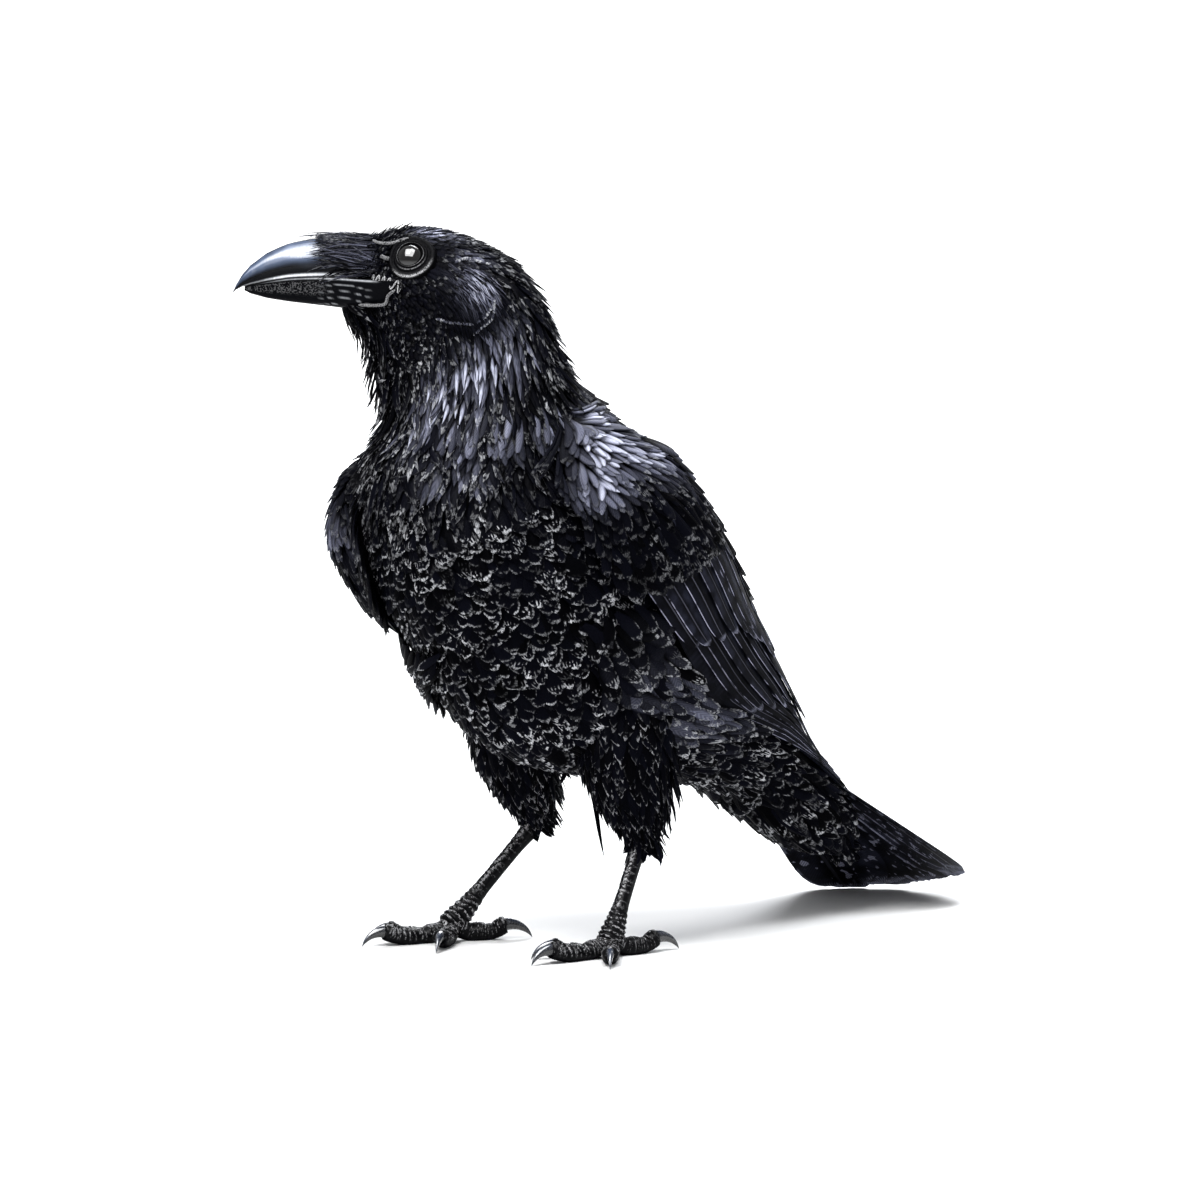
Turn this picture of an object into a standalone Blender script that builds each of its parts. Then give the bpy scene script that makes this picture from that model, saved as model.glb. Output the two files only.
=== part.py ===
"""A raven standing at rest, life size, built in metres with +Z up.

The bird faces -Y and its left side is +X. It is modelled about a point on the floor between its feet, and then an
empty carries it so that the bottom centre of its bounding box stands on the origin.
The trunk, neck and head are one hull: rings carried from the forehead to the tail, each set by a point on the
back line, a point on the belly line and a half width. Wings and mantle are shells that lie on that hull.
"""

import math

import bmesh
import bpy
import numpy as np

# ---------------------------------------------------------------- driving sizes, in metres and degrees

HEAD_TURN = 40.0  # the head looks this far to the bird's right
NECK_PIVOT_Y = -0.040  # the upright line that the neck turns about
GAP = 0.0003  # air between neighbouring pieces
UNDER_SHELL = 0.0027  # air between the hull and the shells that lie on it
FLOOR = 0.0

RING_SIDES = 26  # flat sides round the hull
STATION_LENGTH = 0.030  # about how far apart the stations are
TRUNK_END = 18.7
# Flesh pieces: hull stations where each starts and ends, and its rings.
FLESH = {"head": (0.0, 3.6, 11), "neck": (3.6, 7.9, 10), "breast": (7.9, 11.6, 9), "belly": (11.6, TRUNK_END, 15)}
TAPER_START = 16.0

EYE_RADIUS = 0.0076
EYE_STATION, EYE_AROUND, EYE_SINK = 2.78, 43.0, 0.0052

TAIL_ROOT = (0.0, 0.150, 0.1075)
TAIL_PITCH, TAIL_ROLL, TAIL_YAW = 36.2, 14.0, 3.5  # yaw swings it to the bird's right
TAIL_LENGTH, TAIL_FEATHERS, TAIL_FAN = 0.172, 12, 15.5
TAIL_WEDGE = 0.11  # how much shorter the outermost feathers are, as a share

# Rings of the hull: back line (y, z), belly line (y, z), half width, share of the head's turn, egg shape.
# A positive egg makes the belly side broader than the back.
STATIONS = {
    "bill_root": (-0.1025, 0.3850, -0.1125, 0.3520, 0.0150, 1.00, 0.00),
    "lores": (-0.0950, 0.3905, -0.1055, 0.3450, 0.0195, 1.00, -0.10),
    "eyes": (-0.0825, 0.3945, -0.0975, 0.3365, 0.0245, 1.00, -0.20),
    "crown": (-0.0645, 0.3965, -0.0915, 0.3245, 0.0285, 1.00, -0.24),
    "nape": (-0.0402, 0.3915, -0.0897, 0.3110, 0.0325, 0.95, -0.14),
    "hind_neck": (-0.0180, 0.3795, -0.0900, 0.2975, 0.0365, 0.82, 0.00),
    "mid_neck": (-0.0015, 0.3580, -0.0930, 0.2820, 0.0410, 0.62, 0.05),
    "low_neck": (0.0090, 0.3310, -0.0960, 0.2660, 0.0465, 0.42, 0.08),
    "shoulders": (0.0250, 0.3040, -0.0975, 0.2460, 0.0560, 0.22, 0.08),
    "upper_breast": (0.0520, 0.2770, -0.0950, 0.2220, 0.0650, 0.08, 0.06),
    "breast": (0.0780, 0.2460, -0.0840, 0.1930, 0.0690, 0.00, 0.04),
    "lower_breast": (0.1000, 0.2130, -0.0660, 0.1640, 0.0680, 0.00, 0.02),
    "belly": (0.1180, 0.1830, -0.0480, 0.1350, 0.0630, 0.00, 0.00),
    "lower_belly": (0.1340, 0.1560, -0.0180, 0.1080, 0.0560, 0.00, 0.00),
    "vent": (0.1480, 0.1350, 0.0350, 0.0920, 0.0500, 0.00, 0.00),
    "rump": (0.1630, 0.1170, 0.0800, 0.0870, 0.0450, 0.00, 0.00),
    "tail_base": (0.1820, 0.0980, 0.1190, 0.0760, 0.0400, 0.00, 0.00),
    "tail_coverts": (0.2020, 0.0800, 0.1480, 0.0570, 0.0370, 0.00, 0.00),
    "wing_tips": (0.2240, 0.0610, 0.1760, 0.0350, 0.0360, 0.00, 0.00),
    "tail_mid": (0.2460, 0.0430, 0.2040, 0.0130, 0.0350, 0.00, 0.00),
}

# Swellings and hollows of the hull: station, degrees round (0 is the side, 90 the back), spreads, height.
FORMS = {
    "brow": (2.35, 60.0, 0.75, 11.0, 0.0012),
    "lore": (1.65, 28.0, 0.45, 17.0, -0.0012),
    "cheek": (3.30, -8.0, 0.80, 32.0, 0.0016),
    "throat": (3.40, -90.0, 1.20, 35.0, 0.0020),
}

# Folded wings: hull station, lower and upper edge in degrees round the hull, height of the outside over the
# hull, and where the thickest line lies across the wing.
# The bird's right wing is held a little forward and out, so its bend shows beside the breast.
WING_ROWS = {
    "left": (
        (7.8, 27.0, 41.0, 0.0036, 0.50),
        (8.1, 16.0, 52.0, 0.0085, 0.50),
        (8.6, 8.0, 61.0, 0.0150, 0.50),
        (9.3, 6.0, 70.0, 0.0230, 0.50),
        (10.5, 6.0, 76.0, 0.0235, 0.55),
        (12.0, 8.0, 80.0, 0.0215, 0.60),
        (13.0, 11.0, 82.0, 0.0240, 0.62),
        (14.0, 15.0, 84.0, 0.0230, 0.62),
        (15.0, 20.0, 84.0, 0.0175, 0.60),
        (16.0, 27.0, 80.0, 0.0085, 0.50),
        (17.0, 34.0, 70.0, 0.0045, 0.50),
        (17.5, 40.0, 58.0, 0.0034, 0.50),
    ),
    "right": (
        (7.6, -16.0, 8.0, 0.0040, 0.45),
        (7.8, -30.0, 25.0, 0.0120, 0.36),
        (8.2, -48.0, 46.0, 0.0235, 0.24),
        (9.1, -62.0, 68.0, 0.0275, 0.18),
        (10.2, -57.0, 75.0, 0.0240, 0.24),
        (11.2, -43.0, 78.0, 0.0225, 0.36),
        (12.2, -18.0, 80.0, 0.0220, 0.55),
        (13.2, 4.0, 82.0, 0.0240, 0.62),
        (14.2, 15.0, 84.0, 0.0225, 0.62),
        (15.0, 20.0, 84.0, 0.0175, 0.60),
        (16.0, 27.0, 80.0, 0.0085, 0.50),
        (17.0, 34.0, 70.0, 0.0045, 0.50),
        (17.5, 40.0, 58.0, 0.0034, 0.50),
    ),
}
COVERT_END, SECONDARY_END = 11.8, 14.9  # stations where each tier of the wing ends at its middle
SCALLOPS = 4  # rounded feather tips across the end of each tier

# Legs: where the toes meet, the hock, the top of the feathered thigh, and the way the middle toe points,
# in degrees to the bird's right of straight ahead.
LEGS = {
    "left": {"side": 1, "foot": (0.0515, 0.0150), "hock": (0.0420, 0.0440, 0.0600), "thigh": (0.036, 0.040, 0.142),
             "radii": (0.030, 0.031, 0.029, 0.0245, 0.0180, 0.0090), "heading": 1.5},
    "right": {"side": -1, "foot": (-0.0440, -0.0180), "hock": (-0.0420, 0.0400, 0.0610), "thigh": (-0.037, 0.018, 0.136),
              "radii": (0.028, 0.028, 0.0255, 0.0210, 0.0155, 0.0090), "heading": 14.0},
}
TARSUS_RADIUS = 0.0043
TOE_JOINT_HEIGHT = 0.0095
PAD_PRESS = 0.0008  # how far a toe's pads are pressed flat by the floor
# Toes: angle from the middle toe (positive is outwards), reach to the claw, radius, claw length.
TOES = {
    "middle": (0.0, 0.040, 0.0050, 0.0195),
    "outer": (40.0, 0.034, 0.0046, 0.0170),
    "inner": (-40.0, 0.032, 0.0047, 0.0180),
    "hind": (176.0, 0.029, 0.0052, 0.0215),
}
SPREAD = {"left": {"outer": 52.0, "inner": -22.0}, "right": {"outer": 22.0, "inner": -54.0, "hind": -168.0}}

# Bill, in the head's own upright plane: y before the head turns, heights of the culmen, the cutting edge and the
# underside, and half widths of the upper and lower bill.
BILL_ROWS = (
    (-0.0812, 0.3868, 0.3682, 0.3540, 0.0150, 0.0146),
    (-0.0952, 0.3904, 0.3710, 0.3542, 0.0136, 0.0130),
    (-0.1102, 0.3916, 0.3718, 0.3546, 0.0118, 0.0110),
    (-0.1242, 0.3902, 0.3717, 0.3555, 0.0100, 0.0092),
    (-0.1382, 0.3871, 0.3707, 0.3569, 0.0082, 0.0074),
    (-0.1502, 0.3819, 0.3686, 0.3588, 0.0064, 0.0056),
    (-0.1582, 0.3757, 0.3666, 0.3612, 0.0045, 0.0036),
    (-0.1622, 0.3710, 0.3651, 0.3634, 0.0031, 0.0013),
    (-0.1652, 0.3662, 0.3634, 0.3626, 0.0018, 0.0008),
    (-0.1669, 0.3629, 0.3620, 0.3614, 0.0007, 0.0004),
)
LOWER_BILL_TIP = -0.1622

COLOURS = {
    "plumage": ((0.012, 0.012, 0.016), 0.45),
    "flight_feather": ((0.014, 0.014, 0.020), 0.38),
    "bill_horn": ((0.020, 0.022, 0.028), 0.22),
    "claw_horn": ((0.018, 0.018, 0.022), 0.25),
    "scaled_skin": ((0.030, 0.030, 0.033), 0.50),
    "eye": ((0.010, 0.007, 0.006), 0.05),
}


# ---------------------------------------------------------------- curves and the hull


def smooth(rows, at):
    """Reads a table of evenly numbered rows at any place, on a Catmull-Rom curve through them."""
    table = np.asarray(rows, float)
    at = np.clip(np.asarray(at, float), 0.0, len(table) - 1.0)
    low = np.minimum(at.astype(int), len(table) - 2)
    part = (at - low)[..., None]
    before, after = np.maximum(low - 1, 0), np.minimum(low + 2, len(table) - 1)
    p0, p1, p2, p3 = table[before], table[low], table[low + 1], table[after]
    return 0.5 * (2 * p1 + (p2 - p0) * part + (2 * p0 - 5 * p1 + 4 * p2 - p3) * part**2
                  + (3 * p1 - p0 - 3 * p2 + p3) * part**3)


def between(rows, at):
    """Reads a table whose first column is the place, by smooth steps between its rows."""
    table = np.asarray(rows, float)
    number = np.interp(at, table[:, 0], np.arange(len(table)))
    return smooth(table[:, 1:], number)


def turned(points, share):
    """Turns points about the neck's upright line, by a share of the head's turn to the bird's right."""
    angle = -np.radians(HEAD_TURN) * share
    x, y = points[..., 0], points[..., 1] - NECK_PIVOT_Y
    return np.stack([x * np.cos(angle) - y * np.sin(angle), x * np.sin(angle) + y * np.cos(angle) + NECK_PIVOT_Y,
                     points[..., 2]], axis=-1)


def trunk_taper(station):
    """How much of the hull's ring the trunk keeps: all of it, then an elliptical close under the tail."""
    share = np.clip((station - TAPER_START) / (TRUNK_END - TAPER_START), 0.0, 1.0)
    return np.sqrt(np.maximum(1.0 - share**3, 0.0))


def form_height(station, around):
    """Height of the named swellings at a place on the hull."""
    total = np.zeros(np.broadcast(station, around).shape)
    for centre, angle, along, across, height in FORMS.values():
        off = np.abs((around - angle + 180.0) % 360.0 - 180.0)
        mirrored = np.abs((around - (180.0 - angle) + 180.0) % 360.0 - 180.0)
        off = np.minimum(off, mirrored)
        total = total + height * np.exp(-((station - centre) / along) ** 2 - (off / across) ** 2)
    return total


def hull_raw(station, around, close):
    """Points of the hull where a ring's angle 0 is the bird's left, 90 its back and -90 its belly."""
    row = smooth(list(STATIONS.values()), station)
    keep = trunk_taper(station) if close else np.ones_like(station)
    back_y, back_z, belly_y, belly_z, width, turn, egg = np.moveaxis(row, -1, 0)
    cosine, sine = np.cos(np.radians(around)), np.sin(np.radians(around))
    middle_y, middle_z = (back_y + belly_y) / 2, (back_z + belly_z) / 2
    flat = np.stack([keep * width * cosine * (1.0 - egg * sine), middle_y + keep * sine * (back_y - belly_y) / 2,
                     middle_z + keep * sine * (back_z - belly_z) / 2], axis=-1)
    return turned(flat, turn)


def hull(station, around, lift=0.0, close=False):
    """Points a height of lift over the hull, measured square to it. close shuts the hull under the tail."""
    station, around = np.broadcast_arrays(np.asarray(station, float), np.asarray(around, float))
    step, turn = 0.02, 0.5
    along = hull_raw(station + step, around, False) - hull_raw(station - step, around, False)
    across = hull_raw(station, around + turn, False) - hull_raw(station, around - turn, False)
    normal = np.cross(across, along)
    normal = -normal / np.linalg.norm(normal, axis=-1, keepdims=True)
    return hull_raw(station, around, close) + normal * (form_height(station, around) + lift)[..., None]


# ---------------------------------------------------------------- meshes and materials


def material(name):
    """The Principled finish of one kind of surface."""
    found = bpy.data.materials.get(name)
    if found:
        return found
    made = bpy.data.materials.new(name)
    made.use_nodes = True
    shader = made.node_tree.nodes["Principled BSDF"]
    colour, roughness = COLOURS[name]
    shader.inputs["Base Color"].default_value = (*colour, 1.0)
    shader.inputs["Roughness"].default_value = roughness
    return made


def piece(name, points, faces, finish, sharp=35.0):
    """A named object from points and faces, facing outwards and shaded smooth but for its sharp edges."""
    mesh = bpy.data.meshes.new(name)
    mesh.from_pydata([tuple(p) for p in points], [], faces)
    work = bmesh.new()
    work.from_mesh(mesh)
    bmesh.ops.recalc_face_normals(work, faces=work.faces)
    work.to_mesh(mesh)
    work.free()
    mesh.shade_smooth()
    mesh.set_sharp_from_angle(angle=math.radians(sharp))
    made = bpy.data.objects.new(name, mesh)
    made.data.materials.append(material(finish))
    bpy.context.scene.collection.objects.link(made)
    return made


def tube_mesh(rings):
    """Points and faces of rings joined into a tube, with a fan of triangles over each end."""
    rows, sides = rings.shape[:2]
    points = [*rings.reshape(-1, 3), rings[0].mean(axis=0), rings[-1].mean(axis=0)]
    faces = []
    for row in range(rows - 1):
        for side in range(sides):
            after = (side + 1) % sides
            faces.append((row * sides + side, row * sides + after, (row + 1) * sides + after, (row + 1) * sides + side))
    first, last, base = rows * sides, rows * sides + 1, (rows - 1) * sides
    for side in range(sides):
        after = (side + 1) % sides
        faces.append((first, after, side))
        faces.append((last, base + side, base + after))
    return points, faces


def shell_mesh(outside, inside):
    """Points and faces of a closed shell between two grids of the same size."""
    rows, columns = outside.shape[:2]
    points = [*outside.reshape(-1, 3), *inside.reshape(-1, 3)]
    under = rows * columns
    faces = []
    for row in range(rows - 1):
        for column in range(columns - 1):
            a = row * columns + column
            b, c, d = a + 1, a + columns + 1, a + columns
            faces += [(a, b, c, d), (under + a, under + d, under + c, under + b)]
    edge = [column for column in range(columns)]
    edge += [row * columns + columns - 1 for row in range(1, rows)]
    edge += [(rows - 1) * columns + column for column in range(columns - 2, -1, -1)]
    edge += [row * columns for row in range(rows - 2, 0, -1)]
    for here, there in zip(edge, edge[1:] + edge[:1]):
        faces.append((there, here, under + here, under + there))
    return points, faces


def cutter(name, points, faces):
    """A hidden helper that a Boolean cuts with."""
    made = piece(name, points, faces, "plumage")
    made.hide_render = True
    made.display_type = "WIRE"
    return made


def cut(target, *tools):
    """Takes the tools away from the target."""
    for tool in tools:
        boolean = target.modifiers.new("cut_" + tool.name, "BOOLEAN")
        boolean.operation = "DIFFERENCE"
        boolean.object = tool
    return target


def join(target, *others):
    """Unites the others with the target. The others become hidden helpers."""
    for other in others:
        other.hide_render = True
        other.display_type = "WIRE"
        boolean = target.modifiers.new("join_" + other.name, "BOOLEAN")
        boolean.operation = "UNION"
        boolean.object = other
    return target


def rings_along(path, radii, sides, wide=1.0, side_axis=None):
    """Rings square to a path, each with a flat side down. wide widens them along side_axis, which stops a twist."""
    path = np.asarray(path, float)
    tangent = np.gradient(path, axis=0)
    tangent /= np.linalg.norm(tangent, axis=1, keepdims=True)
    across = np.asarray(side_axis if side_axis is not None else (1.0, 0.0, 0.0), float)
    across = across - tangent * (tangent @ across)[:, None]
    across /= np.linalg.norm(across, axis=1, keepdims=True)
    upward = np.cross(across, tangent)
    angle = (np.arange(sides) + 0.5) * 2 * np.pi / sides
    radii = np.asarray(radii, float)[:, None, None]
    return (path[:, None] + radii * (wide * np.cos(angle)[None, :, None] * across[:, None]
                                     + np.sin(angle)[None, :, None] * upward[:, None]))


# ---------------------------------------------------------------- the flesh pieces


def flesh_stations(name):
    """Where the rings of one flesh piece stand, half a gap short of its neighbours."""
    start, end, rows = FLESH[name]
    margin = GAP / STATION_LENGTH / 2
    return np.linspace(start + margin * (start > 0), end - margin * (end < TRUNK_END), rows)


def hull_solid(stations, lift=0.0):
    """Points and faces of the hull's stretch with rings at these stations, as one closed solid."""
    around = np.arange(RING_SIDES)[None, :] * 360.0 / RING_SIDES
    rings = hull(stations[:, None], around, lift, close=True)
    return tube_mesh(rings[:-1] if stations[-1] >= TRUNK_END else rings)


def build_flesh():
    """Head, neck, breast and belly: the hull parted by thin cuts. It returns a bed to cut what lies on the trunk."""
    for name in FLESH:
        piece(name, *hull_solid(flesh_stations(name)), "plumage")
    stations = np.concatenate([flesh_stations("breast"), flesh_stations("belly")])
    return cutter("trunk_bed", *hull_solid(stations, GAP))


def build_eyes(head):
    """The two eyeballs and the sockets they sit in."""
    for side, around in (("left", EYE_AROUND), ("right", 180.0 - EYE_AROUND)):
        centre = hull(EYE_STATION, around, -EYE_SINK)
        for name, radius in ((f"eye_{side}", EYE_RADIUS), (f"eye_socket_{side}", EYE_RADIUS + GAP)):
            work = bmesh.new()
            bmesh.ops.create_uvsphere(work, u_segments=12, v_segments=8, radius=radius)
            mesh = bpy.data.meshes.new(name)
            work.to_mesh(mesh)
            work.free()
            mesh.shade_smooth()
            ball = bpy.data.objects.new(name, mesh)
            ball.location = centre
            ball.data.materials.append(material("eye"))
            bpy.context.scene.collection.objects.link(ball)
            if radius > EYE_RADIUS:
                ball.hide_render = True
                ball.display_type = "WIRE"
                cut(head, ball)


def bill_rings(places, upper, grow):
    """Rings of one half of the bill: an arch over a flat cutting side, the upper half up and the lower half down."""
    culmen, edge, gonys, upper_width, lower_width = np.moveaxis(between(BILL_ROWS[::-1], places), -1, 0)
    far, width = (culmen, upper_width) if upper else (gonys, lower_width)
    near = edge + (GAP if upper else -GAP)
    arch = np.radians(np.linspace(0.0, 180.0, 8))
    across = np.concatenate([np.cos(arch), [-0.5, 0.0, 0.5]])
    rise = np.concatenate([np.sin(arch) ** 0.85, [0.0, 0.0, 0.0]])
    height = near[:, None] + (far - near)[:, None] * rise
    side = np.where(rise > 1e-6, 1.0, -1.0) * np.sign(far - near)[:, None]
    height = height + grow * side
    points = [(width[:, None] + grow) * across, np.broadcast_to(places[:, None], height.shape), height]
    return turned(np.stack(points, axis=-1), 1.0)


def build_bill(head):
    """The upper and lower bill, set into the front of the head."""
    back, tip = BILL_ROWS[0][0], BILL_ROWS[-1][0]
    share = np.linspace(0.0, 1.0, 12) ** 0.8
    for name, end, upper in (("bill_upper", tip, True), ("bill_lower", LOWER_BILL_TIP, False)):
        places = back + (end - back) * share
        piece(name, *tube_mesh(bill_rings(places, upper, 0.0)), "bill_horn", 50.0)
        places = np.concatenate([[back + GAP], places[1:]])
        cut(head, cutter(name + "_bed", *tube_mesh(bill_rings(places, upper, 1.6 * GAP))))


# ---------------------------------------------------------------- wings and mantle


def scallop(across, depth):
    """A row of rounded feather tips across an edge, as stations to add."""
    return depth * np.abs(np.sin(np.pi * SCALLOPS * across))


def wing_surface(rows, station, across, mirror, share, thin_end=None):
    """Outside and inside of a wing at stations and shares across it, from the lower edge to the upper."""
    lower, upper, height, peak = np.moveaxis(between(rows, station), -1, 0)
    around = lower + (upper - lower) * across
    span = np.where(across < peak, peak, 1.0 - peak)
    profile = 1.0 - 0.68 * np.abs((across - peak) / span) ** 2.4
    lift = height * share * profile
    if thin_end is not None:
        lift = lift * thin_end
    lift = np.maximum(lift, UNDER_SHELL + 0.0012)
    around = 180.0 - around if mirror else around
    return hull(station, around, lift), hull(station, around, UNDER_SHELL)


def build_wing(side):
    """One folded wing in three tiers: shoulder coverts, secondaries and primaries."""
    rows = WING_ROWS[side]
    mirror = side == "right"
    first, last = rows[0][0], rows[-1][0]
    gap = 4 * GAP / STATION_LENGTH
    across = np.linspace(0.0, 1.0, 3 * SCALLOPS + 1)[None, :]
    covert_edge = COVERT_END - 0.5 * across + scallop(across, 0.24)
    secondary_edge = SECONDARY_END + 0.5 * across + scallop(across, 0.32)
    tiers = (
        ("shoulder", 10, 1.00, 0.82),
        ("secondaries", 7, 0.80, 0.66),
        ("primaries", 6, 0.62, 0.50),
    )
    for name, count, share_start, share_end in tiers:
        start = {"shoulder": first + 0 * across, "secondaries": covert_edge + gap,
                 "primaries": secondary_edge + gap}[name]
        end = {"shoulder": covert_edge, "secondaries": secondary_edge, "primaries": last + 0 * across}[name]
        along = np.linspace(0.0, 1.0, count)[:, None] ** (1.35 if name == "shoulder" else 1.0)
        station = start + (end - start) * along
        share = share_start + (share_end - share_start) * along
        thin = 1.0 - 0.35 * np.clip((along - 0.8) / 0.2, 0.0, 1.0)
        outside, inside = wing_surface(rows, station, across + 0 * along, mirror, share, thin)
        piece(f"wing_{side}_{name}", *shell_mesh(outside, inside), "plumage" if name == "shoulder" else "flight_feather")


def build_mantle():
    """The cape of back feathers between the wings, narrowing to a point on the rump."""
    station = np.linspace(7.6, 13.6, 11)[:, None]
    across = np.linspace(0.0, 1.0, 9)[None, :]
    limit = np.maximum(*(between(rows, station)[..., 1] for rows in WING_ROWS.values()))
    spare = 1.6
    opening = np.clip((station - 8.0) / 0.7, 0.0, 1.0)
    lower = np.maximum(limit, 34.0 + 14.0 * opening) + spare
    around = lower + (180.0 - 2 * lower) * across
    height = (0.0018 + 0.0060 * np.sin(np.pi * np.clip((station - 7.4) / 6.8, 0.0, 1.0)) ** 0.8)
    lift = np.maximum(height * (1.0 - 0.6 * np.abs(2 * across - 1) ** 3), UNDER_SHELL + 0.0010)
    piece("mantle", *shell_mesh(hull(station, around, lift), hull(station, around, UNDER_SHELL)), "plumage")


# ---------------------------------------------------------------- tail


def tail_frame():
    """The tail's root, the way it points, its left side and its upper side."""
    pitch, roll = math.radians(TAIL_PITCH), math.radians(TAIL_ROLL)
    yaw = math.radians(TAIL_YAW)
    level = np.array([-math.sin(yaw), math.cos(yaw), 0.0])
    up = np.array([0.0, 0.0, 1.0])
    away = level * math.cos(pitch) - up * math.sin(pitch)
    upper = level * math.sin(pitch) + up * math.cos(pitch)
    left = np.array([math.cos(yaw), math.sin(yaw), 0.0])
    turned_left = left * math.cos(roll) + upper * math.sin(roll)
    turned_upper = upper * math.cos(roll) - left * math.sin(roll)
    return np.array(TAIL_ROOT), away, turned_left, turned_upper


def build_tail(trunk):
    """The fan of tail feathers: one sheet with a step at each feather's edge and a rounded tip on each."""
    root, away, left, upper = tail_frame()
    across = np.linspace(-1.0, 1.0, 3 * TAIL_FEATHERS + 1)[None, :]
    along = np.linspace(0.0, 1.0, 4)[:, None]
    feather = (across + 1.0) / 2 * TAIL_FEATHERS
    rounding = np.abs(2 * (feather % 1.0) - 1.0)
    reach = TAIL_LENGTH * (1.0 - TAIL_WEDGE * np.abs(across) ** 1.7) - 0.0055 * rounding**2
    step = 1.0 - np.abs(across) * 0.15 + 0.30 * np.where(across < 0, feather % 1.0, 1.0 - feather % 1.0)
    angle = np.radians(TAIL_FAN * across)
    distance = 0.018 + (reach - 0.018) * along
    thick = (0.0030 - 0.0018 * along) * step
    arch = -0.010 * across**2 * (0.4 + 0.6 * along)
    breadth = 0.011 * (1.0 - along) + 0.004 * along
    flat = (root + distance[..., None] * (np.cos(angle)[..., None] * away + np.sin(angle)[..., None] * left)
            + (breadth * across)[..., None] * left)
    outside = flat + (arch + thick / 2)[..., None] * upper
    inside = flat + (arch - thick / 2)[..., None] * upper
    cut(piece("tail", *shell_mesh(outside, inside), "flight_feather"), trunk)


# ---------------------------------------------------------------- legs


def build_thigh(side, leg, trunk):
    """The feathered thigh: a tapering bag with a ragged hem at the hock."""
    top, hock = np.array(leg["thigh"]), np.array(leg["hock"])
    share = np.linspace(0.0, 1.0, 8)
    bow = np.array([0.0, -0.005, 0.0])
    path = top + (hock - top) * share[:, None] + bow * np.sin(np.pi * share)[:, None]
    radii = smooth(np.array(leg["radii"])[:, None], share * (len(leg["radii"]) - 1))[:, 0]
    rings = rings_along(path, radii, 14, wide=0.88)
    thigh = piece(f"thigh_{side}", *tube_mesh(rings), "plumage")
    bed = cutter(f"shank_bed_{side}", *tube_mesh(tarsus_rings(leg, GAP)))
    cut(thigh, trunk, bed)


def tarsus_rings(leg, grow=0.0):
    """The bare shank, from its top inside the thigh's hem down to the toes."""
    foot = np.array([*leg["foot"], TOE_JOINT_HEIGHT])
    hock = np.array(leg["hock"])
    away = (foot - hock) / np.linalg.norm(foot - hock)
    start, end = hock - away * (0.004 + grow), foot - away * 0.004
    share = np.linspace(0.0, 1.0, 7)
    path = start + (end - start) * share[:, None]
    swell = 1.0 + 0.28 * np.exp(-((share - 0.1) / 0.12) ** 2) + 0.42 * np.exp(-((1 - share) / 0.16) ** 2)
    return rings_along(path, TARSUS_RADIUS * swell + grow, 8, wide=0.88)


def toe_path(foot, heading, reach, radius):
    """A toe's middle line: down from the joint, along the floor on its pads, and up a little to the claw."""
    ahead = np.array([math.sin(heading), -math.cos(heading), 0.0])
    share = np.linspace(0.0, 1.0, 9)
    height = TOE_JOINT_HEIGHT + (radius * 0.90 - PAD_PRESS - TOE_JOINT_HEIGHT) * np.clip(share / 0.38, 0, 1) ** 0.8
    height = height + 0.0036 * np.clip((share - 0.62) / 0.38, 0, 1) ** 2
    return foot + ahead * (reach * share)[:, None] + np.array([0.0, 0.0, 1.0]) * height[:, None], ahead


def build_claw(name, toe_end, along, ahead, length):
    """A claw: a horn that starts off the toe's last ring and tapers round an arc to a small flat on the floor."""
    root = toe_end.mean(axis=0)
    share = np.linspace(0.0, 1.0, 7)[:, None, None]
    pitch = np.radians(14.0 - 74.0 * share)
    step = length / (len(share) - 1)
    forward = np.cumsum(np.cos(pitch) * step, axis=0) - np.cos(pitch[0]) * step
    rise = np.cumsum(np.sin(pitch) * step, axis=0) - np.sin(pitch[0]) * step
    rise = rise - share**2 * (rise[-1] + root[2] - FLOOR)
    lean = np.radians(14.0) - pitch
    spread = (toe_end - root)[None] * (0.74 * (1.0 - share**1.25) + 0.09 * share)
    upward = spread[..., 2:] * np.array([0.0, 0.0, 1.0])
    spread = spread - upward + upward * np.cos(lean) + upward[..., 2:] * np.sin(lean) * ahead
    rings = root + along * GAP + forward * ahead + rise * np.array([0.0, 0.0, 1.0]) + spread
    rings[..., 2] = np.maximum(rings[..., 2], FLOOR)
    piece(name, *tube_mesh(rings), "claw_horn")


def build_foot(side, leg):
    """Tarsus, toes and claws of one leg."""
    foot = np.array([*leg["foot"], 0.0])
    toes = []
    for name, (angle, reach, radius, claw) in TOES.items():
        angle = SPREAD[side].get(name, angle)
        heading = math.radians(-leg["heading"] + leg["side"] * angle)
        path, ahead = toe_path(foot, heading, reach, radius)
        share = np.linspace(0.0, 1.0, len(path))
        knuckle = 1.0 + 0.10 * np.cos(2 * np.pi * share * (2 if name == "hind" else 3)) - 0.16 * share
        rings = rings_along(path, radius * knuckle, 8, side_axis=np.cross(ahead, (0.0, 0.0, 1.0)))
        rings[..., 2] = np.maximum(rings[..., 2], FLOOR)
        toes.append(piece(f"toe_{side}_{name}", *tube_mesh(rings), "scaled_skin"))
        along = (path[-1] - path[-2]) / np.linalg.norm(path[-1] - path[-2])
        build_claw(f"claw_{side}_{name}", rings[-1], along, ahead, claw)
    shank = piece(f"foot_{side}", *tube_mesh(tarsus_rings(leg)), "scaled_skin")
    join(shank, *toes)


def build_legs(trunk):
    """Both legs, from the feathered thighs to the claws."""
    for side, leg in LEGS.items():
        build_thigh(side, leg, trunk)
        build_foot(side, leg)


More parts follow.
